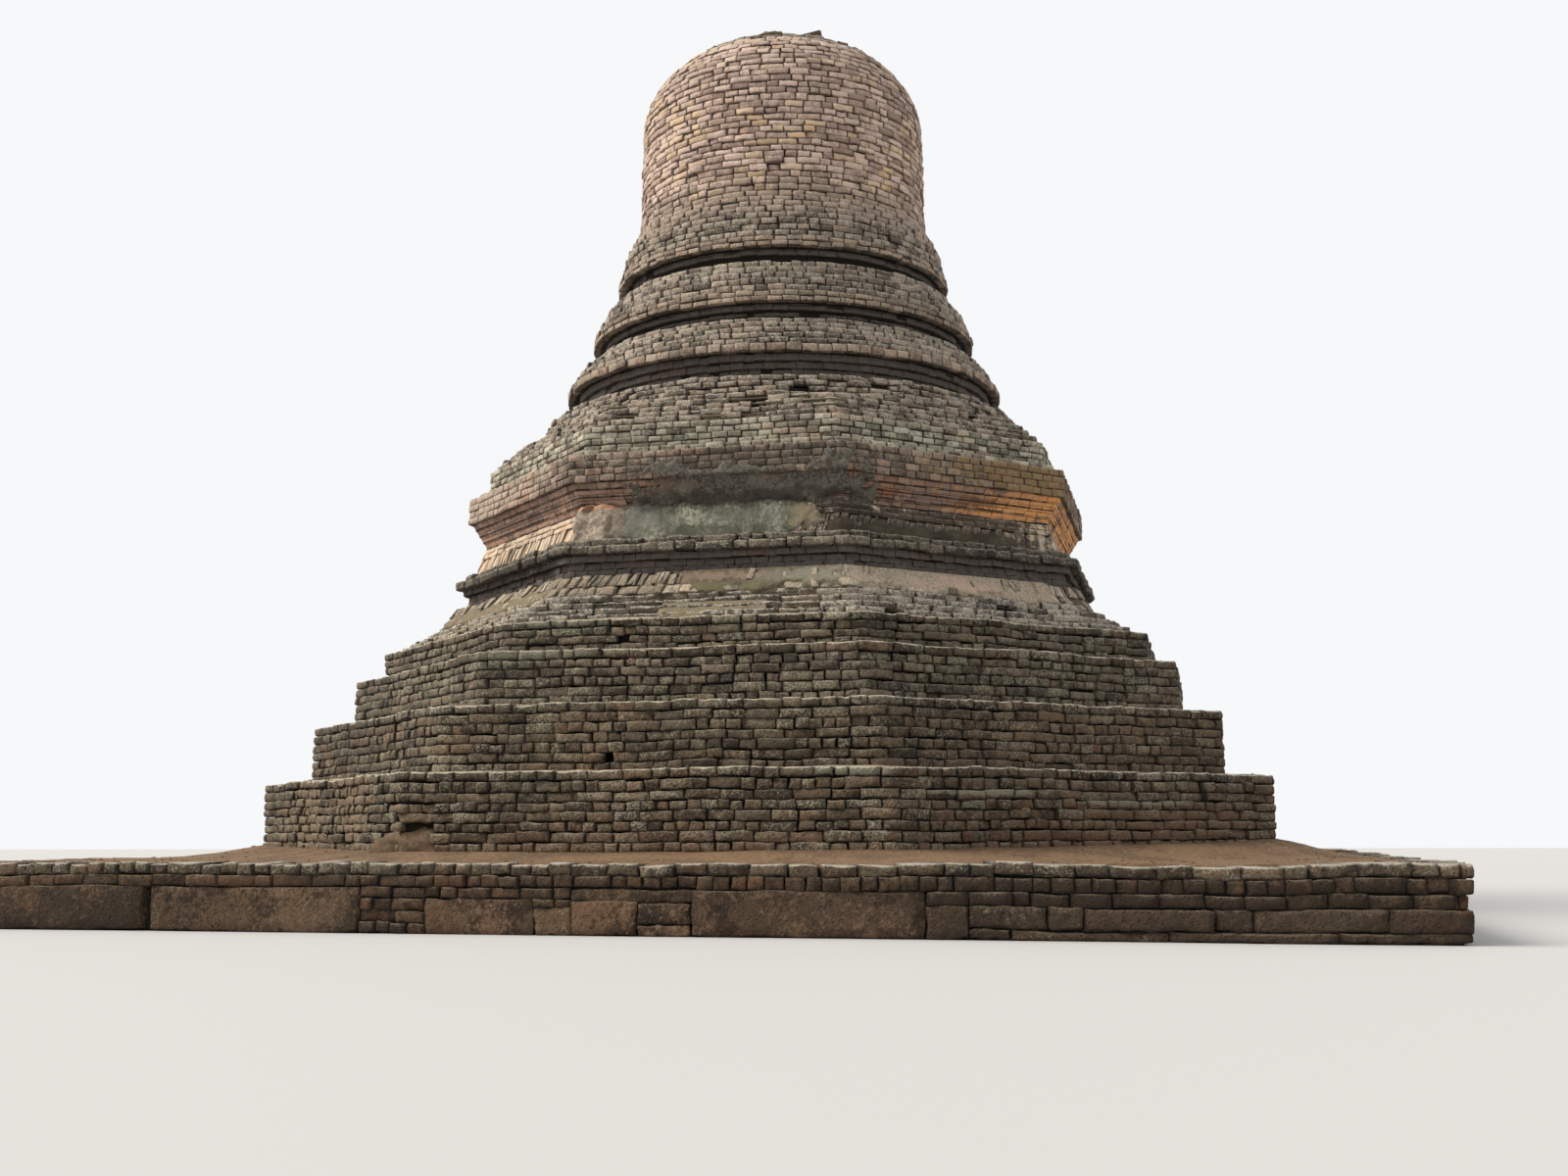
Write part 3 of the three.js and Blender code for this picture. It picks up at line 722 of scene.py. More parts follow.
PLASTER = Rough(
    name="old_plaster", slot=Slot.PLASTER, main=(0.165, 0.164, 0.121), second=(0.45, 0.44, 0.335),
    stain=(0.085, 0.083, 0.06), fleck=(0.5, 0.485, 0.41), scale=1.5, stain_cover=0.45, fleck_cover=0.2,
    contrast=0.07, streaks=True, relief=0.9, coarse=0.08,
    tone_patches=(
        TonePatch((-1.5, -6.4, 7.9), (0.5, 0.5, 0.45), (0.5, 0.48, 0.42), 0.22),
        TonePatch((0.2, -6.4, 7.5), (1.6, 0.5, 0.18), (0.06, 0.062, 0.042), 0.65),
        TonePatch((2.05, -6.4, 7.8), (0.3, 0.5, 0.4), (0.36, 0.28, 0.16), 0.6),
        TonePatch((0.2, -6.4, 8.15), (2.4, 0.5, 0.18), (0.05, 0.045, 0.035), 0.6),
    ),
)
TAN_PLASTER = replace(
    PLASTER, name="tan_plaster", main=(0.41, 0.34, 0.26), second=(0.225, 0.179, 0.132),
    stain=(0.155, 0.12, 0.093), fleck=(0.6, 0.51, 0.41), scale=1.7, stain_cover=0.3, fleck_cover=0.35,
    contrast=0.14, relief=0.55, coarse=0.05, streaks=False,
    tone_patches=(
        TonePatch((-2.2, -6.6, 8.15), (0.6, 0.5, 0.11), (0.6, 0.3, 0.16), 0.9),
        TonePatch((-2.0, -6.6, 7.6), (0.09, 0.4, 0.3), (0.1, 0.072, 0.052), 0.7),
        TonePatch((-2.45, -6.6, 8.1), (0.12, 0.4, 0.09), (0.05, 0.035, 0.026), 0.8),
    ),
)
BAND_PLASTER = replace(
    TAN_PLASTER, name="band_plaster", main=(0.14, 0.112, 0.08), second=(0.07, 0.056, 0.038),
    stain=(0.112, 0.099, 0.062), fleck=(0.38, 0.335, 0.265), scale=2.2, stain_cover=0.4,
    tone_patches=(
        TonePatch((2.6, -7.0, 6.55), (0.9, 0.8, 0.2), (0.26, 0.25, 0.19), 0.5),
        TonePatch((1.5, -7.0, 6.5), (0.8, 0.8, 0.14), (0.19, 0.18, 0.13), 0.5),
        TonePatch((0.4, -7.1, 6.3), (1.4, 0.8, 0.16), (0.13, 0.108, 0.055), 0.7),
        TonePatch((0.3, -7.0, 6.55), (0.9, 0.8, 0.12), (0.26, 0.18, 0.125), 0.6),
    ),
)
RIGHT_BAND_PLASTER = replace(
    BAND_PLASTER, name="right_band_plaster", main=(0.42, 0.34, 0.25), second=(0.23, 0.18, 0.13),
    stain=(0.23, 0.2, 0.13), fleck=(0.55, 0.48, 0.37), stain_cover=0.3,
    tone_patches=(TonePatch((4.9, -5.3, 6.45), (1.0, 1.0, 0.16), (0.48, 0.33, 0.25), 0.6),),
)


@dataclass(frozen=True)
class Bond:
    """Sizes of the blocks in a wall, in metres, and how worn they are.

    joint is the gap between blocks, bevel their rounding, bulge how far a face swells, wear how far
    their outline wanders, push how far a block stands in or out, tilt how far it turns, uneven how far
    its height is off, and lost the share of blocks that are gone. sinking is the share of blocks that
    have sunk back, and sunk how far the worst of them has.
    """

    header: float = 0.28
    stretcher: float = 0.585
    headers: float = 0.45
    spread: float = 0.18
    joint: float = 0.008
    bevel: float = 0.018
    bulge: float = 0.01
    wear: float = 0.04
    push: float = 0.013
    sunk: float = 0.05
    sinking: float = 0.08
    tilt: float = 0.035
    uneven: float = 0.007
    lost: float = 0.0

    def length(self, rng: random.Random) -> float:
        """Draws the next block's length."""
        nominal = self.header if rng.random() < self.headers else self.stretcher
        return nominal * rng.uniform(1 - self.spread, 1 + self.spread)


@dataclass(frozen=True)
class Course:
    """One ring of blocks: the distance from the axis to a side, its foot, its height and its depth.

    lean is the set-back for each metre of height and shear the shift along the wall.
    """

    apothem: float
    base: float
    rise: float
    depth: float
    lean: float = 0.0
    shear: float = 0.0
    plan: Plan = Plan.OCTAGON

    @property
    def side(self) -> float:
        """Length of one side of the plan."""
        return self.plan.side(self.apothem)


@dataclass(frozen=True)
class Damage:
    """A worn place on a wall: where it is along the wall and in height, its radius and its depth.

    Where it is gone, the blocks end at its radius and leave a hole.
    """

    along: float
    height: float
    radius: float
    depth: float = 0.05
    gone: bool = False

    def share(self, along: float, height: float) -> float:
        """How strongly a place is worn, from 0 outside to 1 in the middle."""
        distance = math.hypot(along - self.along, height - self.height) / self.radius
        return max(0.0, 1 - distance * distance)

    def takes(self, along: float, height: float, length: float, rise: float) -> bool:
        """Whether a block with its middle at this place reaches into the hole."""
        beside = abs(along - self.along) - length / 2 < self.radius - 0.001
        return self.gone and beside and abs(height - self.height) < max(self.radius, rise / 2)


@dataclass(frozen=True)
class Setback:
    """A stretch of wall whose upper courses stand back: its ends, the height they start at and how far."""

    left: float
    right: float
    height: float
    depth: float = 0.09

    def at(self, along: float, height: float) -> float:
        """How far a block with its middle at this place stands back."""
        return self.depth if self.left < along < self.right and height > self.height else 0.0


@dataclass(frozen=True)
class Block:
    """One block of a course, in the unrolled wall."""

    course: Course
    bond: Bond
    along: float
    length: float
    push: float
    drop: float
    loss: float
    slant: Triple
    shade: float
    worn: float


@dataclass
class BlockWork:
    """Courses of blocks that make one piece.

    columns and rows are the strips across and up a block's face, sag is how far the courses wave and
    shortest is the shortest end of a block that is kept beside a hole. laps are the two shares of a
    stretcher that a corner block reaches along its two sides.
    """

    name: str
    finish: Masonry
    bond: Bond
    seed: int
    damages: tuple[Damage, ...] = ()
    setbacks: tuple[Setback, ...] = ()
    columns: int = 4
    rows: int = 2
    sag: float = 0.06
    shortest: float = 0.1
    laps: tuple[float, float] = (0.3, 0.9)
    blocks: list[Block] = field(default_factory=list)

    def __post_init__(self) -> None:
        """Starts this piece's own random draws."""
        self.rng = random.Random(self.seed)
        self.laid = 0

    def lay(self, course: Course, bond: Bond | None = None) -> None:
        """Lays one course round its whole plan, with blocks that lap round each corner.

        Args:
            course: The ring to lay.
            bond: Block sizes for this course, where they differ from the piece's.
        """
        bond = bond or self.bond
        sides, side = course.plan.value, course.side
        self.laid += 1
        if course.plan is Plan.ROUND:
            start = self.rng.uniform(0, bond.stretcher)
            self.run(course, start, start + sides * side, bond)
            return
        short, long = (lap * bond.stretcher for lap in self.laps)
        laps = [(short, long) if (i + self.laid) % 2 else (long, short) for i in range(sides)]
        for i, (before, after) in enumerate(laps):
            corner = (i + 0.5) * side
            self.run(course, corner - side + laps[i - 1][1], corner - before, bond)
            self._place(course, bond, corner + (after - before) / 2, before + after)

    def run(self, course: Course, start: float, end: float, bond: Bond | None = None) -> None:
        """Lays blocks along a stretch of wall.

        Args:
            course: The ring that the stretch belongs to.
            start: Where the stretch starts along the wall.
            end: Where it ends.
            bond: Block sizes, where they differ from the piece's.
        """
        bond = bond or self.bond
        lengths: list[float] = []
        while sum(lengths) < end - start - 0.5 * bond.header:
            lengths.append(bond.length(self.rng))
        along = start
        for length in lengths:
            fitted = length * (end - start) / sum(lengths)
            self._place(course, bond, along + fitted / 2, fitted)
            along += fitted

    def stone(self, course: Course, start: float, end: float) -> None:
        """Lays one stone from start to end along the wall."""
        self._place(course, self.bond, (start + end) / 2, end - start)

    def _place(self, course: Course, bond: Bond, along: float, length: float) -> None:
        """Adds one block, unless it is lost."""
        rng = self.rng
        chance, shade, sinks = rng.random(), rng.random(), rng.random()
        push = rng.gauss(0, bond.push)
        turns = [rng.gauss(0, bond.tilt) for _ in range(3)]
        slant = course.shear + turns[0], course.lean + turns[1], turns[2]
        drop = rng.gauss(0, bond.uneven)
        loss = abs(rng.gauss(0, bond.uneven))
        around = course.plan.value * course.side
        centred = (along + around / 2) % around - around / 2
        middle = course.base + course.rise / 2
        worn = 0.0
        for damage in self.damages:
            if damage.takes(centred, middle, length, course.rise):
                hole = along + damage.along - centred
                before = along - length / 2, hole - damage.radius
                after = hole + damage.radius, along + length / 2
                for start, end in (before, after):
                    if end - start > self.shortest:
                        self._place(course, bond, (start + end) / 2, end - start)
                return
            share = damage.share(centred, middle)
            push -= damage.depth * share
            worn = max(worn, share)
        push -= sum(setback.at(centred, middle) for setback in self.setbacks)
        if chance < bond.lost:
            return
        if sinks < bond.sinking:
            push -= bond.sunk * sinks / bond.sinking
        self.blocks.append(Block(course, bond, along, length, push, drop, loss, slant, shade, worn))

    def build(self, replaced: Sequence[str] = ()) -> None:
        """Makes the piece from its blocks, in the place of some CAD nodes."""
        template = block_template(self.columns, self.rows)
        values = {"Block": template, "Sag": self.sag, "Material": self.finish.material()}
        mesh = grown(self._points(), block_tree(), values, self.name)
        for name in ("inset", "spot", "slant", "form", "apothem", "sides", "wear"):
            mesh.attributes.remove(mesh.attributes[name])
        LOG.info("%s: %d blocks", self.name, len(self.blocks))
        new_piece(self.name, mesh, self.finish.slot, replaced)

    def _points(self) -> bpy.types.Object:
        """A mesh with one vertex for each block, which carries the block's sizes as attributes."""
        mesh = bpy.data.meshes.new(self.name + "_points")
        mesh.from_pydata([(0.0, 0.0, 0.0)] * len(self.blocks), [], [])
        vectors = {
            "spot": [(b.along, b.push, b.course.base + b.drop) for b in self.blocks],
            "size": [(b.length, b.course.depth, b.course.rise - b.loss) for b in self.blocks],
            "slant": [b.slant for b in self.blocks],
            "form": [(b.bond.joint, b.bond.bevel, b.bond.bulge) for b in self.blocks],
        }
        numbers = {
            "wear": [b.bond.wear * (1 + b.worn) for b in self.blocks],
            "apothem": [b.course.apothem for b in self.blocks],
            "sides": [b.course.plan.value for b in self.blocks],
            "shade": [b.shade for b in self.blocks],
            "worn": [b.worn for b in self.blocks],
        }
        for name, rows in vectors.items():
            store(mesh, name, rows)
        for name, row in numbers.items():
            layer = mesh.attributes.new(name, "FLOAT", "POINT")
            layer.data.foreach_set("value", np.array(row, np.float32))
        return linked(self.name + "_points", mesh)


def linked(name: str, data: bpy.types.ID) -> bpy.types.Object:
    """Makes an object of a mesh, camera or lamp and links it to the scene."""
    thing = bpy.data.objects.new(name, data)
    bpy.context.scene.collection.objects.link(thing)
    return thing


def freed(name: str, shape: bmesh.types.BMesh) -> bpy.types.Mesh:
    """Turns a bmesh into a mesh and frees it."""
    mesh = bpy.data.meshes.new(name)
    shape.to_mesh(mesh)
    shape.free()
    return mesh


def store(mesh: bpy.types.Mesh, name: str, rows: Sequence[Triple]) -> None:
    """Stores a vector for each vertex of a mesh."""
    layer = mesh.attributes.new(name, "FLOAT_VECTOR", "POINT")
    layer.data.foreach_set("vector", np.array(rows, np.float32).ravel())


def smooth(mesh: bpy.types.Mesh) -> bpy.types.Mesh:
    """Shades a mesh smoothly and hands it back."""
    mesh.polygons.foreach_set("use_smooth", [True] * len(mesh.polygons))
    return mesh


def grown(
    holder: bpy.types.Object, tree: bpy.types.NodeTree, values: dict[str, object], name: str
) -> bpy.types.Mesh:
    """Runs a geometry node tree on an object, keeps the result as a plain mesh and removes the object.

    Args:
        holder: The object that the tree starts from.
        tree: The geometry node tree.
        values: The tree's inputs by name.
        name: Name of the new mesh.

    Returns:
        The plain mesh.
    """
    modifier = holder.modifiers.new("tree", "NODES")
    modifier.node_group = tree
    for item in tree.interface.items_tree:
        if item.in_out == "INPUT" and item.name in values:
            modifier[item.identifier] = values[item.name]
    return applied(holder, name)


def applied(holder: bpy.types.Object, name: str) -> bpy.types.Mesh:
    """Applies an object's modifiers to a new mesh of the given name and removes the object."""
    graph = bpy.context.evaluated_depsgraph_get()
    mesh = bpy.data.meshes.new_from_object(holder.evaluated_get(graph), depsgraph=graph)
    mesh.name = name
    bpy.data.objects.remove(holder)
    return mesh


def new_piece(name: str, mesh: bpy.types.Mesh, slot: Slot, replaced: Sequence[str] = ()) -> None:
    """Links a mesh as a piece of the stupa.

    Args:
        name: The piece's name.
        mesh: Its mesh, in place and with its material.
        slot: The record's slot of its finish; not used.
        replaced: CAD nodes that it stands for.
    """
    piece = linked(name, mesh)
    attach(piece, BODY)
    if replaced:
        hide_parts(*replaced)
    LOG.info("%s: %d faces", name, len(mesh.polygons))


def coated(mesh: bpy.types.Mesh, finish: Finish, replaced: Sequence[str] = ()) -> bpy.types.Mesh:
    """Makes a piece of a mesh in one finish, under the mesh's own name, and hands the mesh back."""
    mesh.materials.clear()
    mesh.materials.append(finish.material())
    new_piece(mesh.name, mesh, finish.slot, replaced)
    return mesh


def faceted(name: str, vertices: Sequence[Triple], faces: Sequence[Sequence[int]]) -> bpy.types.Mesh:
    """A smooth mesh from its vertices and faces."""
    mesh = bpy.data.meshes.new(name)
    mesh.from_pydata(vertices, [], faces)
    return smooth(mesh)


@cache
def block_template(columns: int, rows: int) -> bpy.types.Object:
    """A unit block, from -0.5 to 0.5 along X and 0 to 1 in Y and Z, with its face at Y 1.

    Each vertex carries its corner in the unit block and the way its rounding moves it, because the
    block is brought to size only after it is placed.

    Args:
        columns: Number of strips across the face.
        rows: Number of strips up the face.

    Returns:
        The template object.
    """
    corners: list[Triple] = []
    insets: list[Triple] = []

    def vertex(i: int, j: int, depth: float, inset: Triple) -> int:
        """Adds a vertex over a grid point of the face."""
        corners.append((i / columns - 0.5, depth, j / rows))
        insets.append(inset)
        return len(corners) - 1

    grid = {}
    for i in range(columns + 1):
        for j in range(rows + 1):
            x = 1.0 if i == 0 else -1.0 if i == columns else 0.0
            z = 1.0 if j == 0 else -1.0 if j == rows else 0.0
            swell = -0.25 if x and z else 0.0 if x or z else 1.0
            grid[i, j] = vertex(i, j, 1.0, (x, swell, z))
    rim = [(i, 0) for i in range(columns)] + [(columns, j) for j in range(rows)]
    rim += [(i, rows) for i in range(columns, 0, -1)] + [(0, j) for j in range(rows, 0, -1)]
    shoulder = {point: vertex(*point, 1.0, (0.0, -1.0, 0.0)) for point in rim}
    turns = [(0, 0), (columns, 0), (columns, rows), (0, rows)]
    back = [vertex(*point, 0.0, (0.0, 0.0, 0.0)) for point in turns]
    faces = []
    for i in range(columns):
        for j in range(rows):
            faces.append([grid[i, j], grid[i + 1, j], grid[i + 1, j + 1], grid[i, j + 1]])
    for here, there in zip(rim, rim[1:] + rim[:1]):
        faces.append([shoulder[here], shoulder[there], grid[there], grid[here]])
    for k, (start, end) in enumerate(zip(turns, turns[1:] + turns[:1])):
        edge = (rim + rim[:1])[rim.index(start):][: (columns if k % 2 == 0 else rows) + 1]
        faces.append([back[k], back[(k + 1) % 4]] + [shoulder[point] for point in reversed(edge)])
    faces.append(back[::-1])
    name = f"block_template_{columns}_{rows}"
    mesh = faceted(name, [(x, -y, z) for x, y, z in corners], faces)
    store(mesh, "corner", corners)
    store(mesh, "inset", insets)
    return linked(name, mesh)


class Tree(Graph):
    """A geometry node tree with named inputs, which ends in one geometry with a material."""

    def __init__(self, name: str, sockets: dict[str, str]) -> None:
        """Starts the tree with its inputs, by name and kind."""
        tree = bpy.data.node_groups.new(name, "GeometryNodeTree")
        for socket, kind in {"Geometry": "Geometry", **sockets, "Material": "Material"}.items():
            tree.interface.new_socket(socket, in_out="INPUT", socket_type="NodeSocket" + kind)
        tree.interface.new_socket("Geometry", in_out="OUTPUT", socket_type="NodeSocketGeometry")
        super().__init__(tree)
        self.group = self.add("NodeGroupInput").socket.node

    def given(self, name: str) -> Wire:
        """One of the tree's inputs."""
        return Wire(self, self.group.outputs[name])

    def stored(self, name: str, kind: str = "FLOAT") -> Wire:
        """An attribute that the points or their copies carry."""
        return self.add("GeometryNodeInputNamedAttribute", {"data_type": kind}, {"Name": name})

    def copies(self, model: str, placed: dict[str, Wire]) -> Wire:
        """Copies of the object in a named input, on points and turned and scaled by socket name."""
        thing = self.add("GeometryNodeObjectInfo", {}, {"Object": self.given(model)}, "Geometry")
        instances = self.add("GeometryNodeInstanceOnPoints", {}, placed | {"Instance": thing})
        return self.add("GeometryNodeRealizeInstances", {}, {"Geometry": instances})

    def ended(self, geometry: Wire) -> bpy.types.NodeTree:
        """Sets the material, ends the tree and hands it back."""
        dressing = {"Geometry": geometry, "Material": self.given("Material")}
        dressed = self.add("GeometryNodeSetMaterial", {}, dressing)
        self.add("NodeGroupOutput", {}, {"Geometry": dressed})
        return self.tree


def unrolled(tree: Tree) -> tuple[Wire, Wire, Wire]:
    """Where a block's vertices lie on the unrolled wall: along it, in front of it and in height."""
    names = ("corner", "inset", "spot", "size", "slant", "form")
    corner, inset, spot, size, slant, form = (tree.stored(name, "FLOAT_VECTOR") for name in names)
    joint, bevel = tree.axis(form, "X"), tree.axis(form, "Y")
    length = tree.axis(size, "X") - joint * 2.0
    height = tree.axis(size, "Z") - joint
    beside = tree.axis(corner, "X") * length + tree.axis(inset, "X") * bevel * 0.7
    swell = tree.math("MAXIMUM", tree.axis(inset, "Y"), 0.0) * tree.axis(form, "Z")
    shoulder = tree.math("MINIMUM", tree.axis(inset, "Y"), 0.0) * bevel
    front = (tree.axis(corner, "Y") - 1.0) * tree.axis(size, "Y")
    out = tree.axis(spot, "Y") + front + swell + shoulder
    rise = tree.axis(corner, "Z") * height + joint * 0.5 + tree.axis(inset, "Z") * bevel
    along = tree.axis(spot, "X") + beside + tree.axis(slant, "X") * rise
    out = out - tree.axis(slant, "Y") * rise + tree.axis(slant, "Z") * beside
    return along, out, tree.axis(spot, "Z") + rise


def wrapped(tree: Tree, along: Wire, out: Wire, level: Wire) -> Wire:
    """Bends places on the unrolled wall round the plan that each point carries."""
    apothem, sides = tree.stored("apothem"), tree.stored("sides")
    half = apothem * tree.math("TANGENT", math.pi / sides)
    number = tree.math("FLOOR", along / (2.0 * half) + 0.5)
    angle = number * 2.0 * math.pi / sides - math.pi / 2
    radius = apothem + out
    across = (along - number * half * 2.0) * radius / apothem
    cosine, sine = tree.math("COSINE", angle), tree.math("SINE", angle)
    return tree.joined(radius * cosine - across * sine, radius * sine + across * cosine, level)


@cache
def block_tree() -> bpy.types.NodeTree:
    """The tree that turns points into blocks, bends them round their plan and wears them down."""
    tree = Tree("lay_blocks", {"Block": "Object", "Sag": "Float"})
    blocks = tree.copies("Block", {"Points": tree.given("Geometry")})
    place = wrapped(tree, *unrolled(tree))
    waves = tree.drift(place, 0.45, tree.given("Sag"), 3)
    apart = tree.scaled(tree.joined(1.0, 1.0, 1.0), tree.stored("shade") * 53.0)
    wear = tree.drift(tree.vector("ADD", place, apart), 6.0, tree.stored("wear"), 2)
    moved = tree.vector("ADD", tree.vector("ADD", place, waves), wear)
    moved = tree.vector("MAXIMUM", moved, (-100.0, -100.0, 0.0))
    return tree.ended(tree.add("GeometryNodeSetPosition", {}, {"Geometry": blocks, "Position": moved}))


@cache
def chip_template() -> bpy.types.Object:
    """A small angular stone, 1 across."""
    shape = bmesh.new()
    bmesh.ops.create_icosphere(shape, subdivisions=1, radius=0.5)
    for vertex in shape.verts:
        vertex.co *= 1 + 0.35 * noise.noise(vertex.co * 3)
        vertex.co.z *= 0.6
    return linked("chip_template", freed("chip_template", shape))


@cache
def chip_tree() -> bpy.types.NodeTree:
    """The tree that scatters small stones over a surface."""
    sockets = {"Chip": "Object", "Density": "Float", "Size": "Float", "Seed": "Int"}
    tree = Tree("scatter_chips", sockets)

    def chance(kind: str, low: Value, high: Value, offset: int) -> Wire:
        """A random number or vector for each stone."""
        places = (0, 1) if kind == "FLOAT_VECTOR" else (2, 3)
        inputs = {places[0]: low, places[1]: high, "Seed": tree.given("Seed") + float(offset)}
        output = 0 if kind == "FLOAT_VECTOR" else 1
        return tree.add("FunctionNodeRandomValue", {"data_type": kind}, inputs, output)

    spots = {"Mesh": tree.given("Geometry"), "Density": tree.given("Density"), "Seed": tree.given("Seed")}
    points = tree.add("GeometryNodeDistributePointsOnFaces", {}, spots)
    size = tree.given("Size") * chance("FLOAT", 0.4, 1.5, 1)
    turn = chance("FLOAT_VECTOR", (-0.5, -0.5, 0.0), (0.5, 0.5, 2 * math.pi), 2)
    placed = {"Points": points, "Rotation": turn, "Scale": tree.joined(size, size, size)}
    return tree.ended(tree.copies("Chip", placed))


@dataclass(frozen=True)
class Scatter:
    """Small stones on a surface: how many for each square metre, and the size of a middling one.

    level is the least height of a face's normal where stones stay on it.
    """

    density: float
    size: float
    seed: int
    finish: Rough
    level: float = 0.6

    def build(self, name: str, ground: bpy.types.Mesh) -> None:
        """Scatters the stones over the faces of a mesh that look up, as a piece of their own."""
        shape = bmesh.new()
        shape.from_mesh(ground)
        steep = [face for face in shape.faces if face.normal.z < self.level]
        bmesh.ops.delete(shape, geom=steep, context="FACES")
        holder = linked(name + "_ground", freed(name + "_ground", shape))
        values = {"Density": self.density, "Size": self.size, "Seed": self.seed}
        values |= {"Chip": chip_template(), "Material": self.finish.material()}
        new_piece(name, grown(holder, chip_tree(), values, name), self.finish.slot)


def core(
    name: str, nodes: Sequence[str], finish: Rough, inset: float = 0.08, drop: float = 0.04
) -> None:
    """Adds the mass behind the blocks: the solids themselves, drawn in towards the axis.

    Args:
        name: The piece's name.
        nodes: CAD nodes that it is made from and stands for.
        finish: Its finish.
        inset: How far its faces lie behind those of the solids.
        drop: How far its tops and ledges are lowered.
    """
    whole = bmesh.new()
    for node in nodes:
        part = bmesh.new()
        part.from_mesh(frame["nodes"][node].data)
        bmesh.ops.remove_doubles(part, verts=part.verts, dist=WELD)
        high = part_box(node)[1]
        factor = 1 - inset / max(high.x, high.y)
        part.normal_update()
        tops = {vertex for face in part.faces if face.normal.z > UPWARD for vertex in face.verts}
        for vertex in part.verts:
            vertex.co.x *= factor
            vertex.co.y *= factor
            if vertex in tops:
                vertex.co.z -= drop
        mesh = freed("part", part)
        whole.from_mesh(mesh)
        bpy.data.meshes.remove(mesh)
    coated(freed(name, whole), finish, nodes)


def apothem_of(node: str) -> float:
    """Distance from the axis to a side of a CAD node."""
    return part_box(node)[1].x


def span(node: str) -> tuple[float, float]:
    """Heights of a CAD node's foot and top."""
    low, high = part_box(node)
    return low.z, high.z


def radius_of(node: str, height: float) -> float:
    """Radius of a round solid at a height, between its rings of vertices."""
    levels: dict[float, float] = {}
    for vertex in frame["nodes"][node].data.vertices:
        level = round(vertex.co.z, 3)
        levels[level] = max(levels.get(level, 0.0), math.hypot(vertex.co.x, vertex.co.y))
    heights = sorted(levels)
    return float(np.interp(height, heights, [levels[h] for h in heights]))


def rings(base: float, top: float, count: int, spread: float = 0.0) -> Iterator[tuple[int, float, float]]:
    """Divides a height into courses.

    Args:
        base: Height of the lowest foot.
        top: Height of the highest top.
        count: Number of courses.
        spread: How unequal the courses are.

    Yields:
        Each course's number, foot and height.
    """
    rng = random.Random(count)
    shares = [rng.uniform(1 - spread, 1 + spread) for _ in range(count)]
    low = base
    for i, share in enumerate(shares):
        rise = (top - base) * share / sum(shares)
        yield i, low, rise
        low += rise


def bent(plan: Plan, apothem: float, along: float, out: float) -> tuple[float, float]:
    """Bends a place on the unrolled wall round its plan.

    Args:
        plan: The plan.
        apothem: Distance from the axis to a side.
        along: Place along the wall.
        out: Distance in front of the wall, negative behind it.

    Returns:
        X and Y of the place.
    """
    side = plan.side(apothem)
    number = math.floor(along / side + 0.5)
    angle = 2 * math.pi * number / plan.value - math.pi / 2
    radius = apothem + out
    across = (along - number * side) * radius / apothem
    cosine, sine = math.cos(angle), math.sin(angle)
    return radius * cosine - across * sine, radius * sine + across * cosine


def clouds(place: Vector, layers: Sequence[tuple[float, float]]) -> float:
    """Sum of layers of noise at a place, each given by its strength and how fine it is."""
    return sum(strength * noise.noise(place * fineness) for strength, fineness in layers)


@dataclass
class SoilBand:
    """Soil that has gathered on a ledge, deep against the wall behind it and thin at the edge.

    outer and inner are the distances from the axis that it lies between, and stones the number of small
    stones for each square metre.
    """

    name: str
    outer: float
    inner: float
    level: float
    deep: float = 0.07
    thin: float = 0.0
    plan: Plan = Plan.OCTAGON
    finish: Rough = PALE_DUST
    skirt: float = 0.06
    cell: float = 0.3
    strips: int = 4
    stones: float = 6.0
    stone_size: float = 0.05
    seed: int = 1
    bumps: tuple[tuple[float, float], ...] = ((0.018, 2.3), (0.012, 6.0))

    def build(self) -> None:
        """Builds the band and the stones that lie on it."""
        side = self.plan.side(self.outer)
        count = self.plan.value * max(1, round(side / self.cell))
        step = self.plan.value * side / count
        vertices: list[Triple] = []
        for i in range(count):
            along = i * step + side / 2
            for j in range(self.strips + 1):
                share = j / self.strips
                x, y = bent(self.plan, self.outer, along, (self.inner - self.outer) * share)
                vertices.append((x, y, self.level + self._height(x, y, share)))
            for share in (1.0, 0.0):
                x, y = bent(self.plan, self.outer, along, (self.inner - self.outer) * share)
                vertices.append((x, y, self.level - self.skirt))
        loop = self.strips + 3
        faces = []
        for i in range(count):
            here, there = i * loop, (i + 1) % count * loop
            for j in range(loop):
                k = (j + 1) % loop
                faces.append((here + j, there + j, there + k, here + k))
        mesh = coated(faceted(self.name, vertices, faces), self.finish)
        if self.stones:
            Scatter(self.stones, self.stone_size, self.seed, DRIFT).build(self.name + "_chips", mesh)

    def _height(self, x: float, y: float, share: float) -> float:
        """Depth of the soil at a place, by how near it is to the wall behind."""
        place = Vector((x, y, self.level))
        uneven = 0.55 + 0.9 * noise.noise(place * 0.55)
        return self.thin + max(0.0, uneven) * self.deep * share**1.3 + clouds(place, self.bumps)


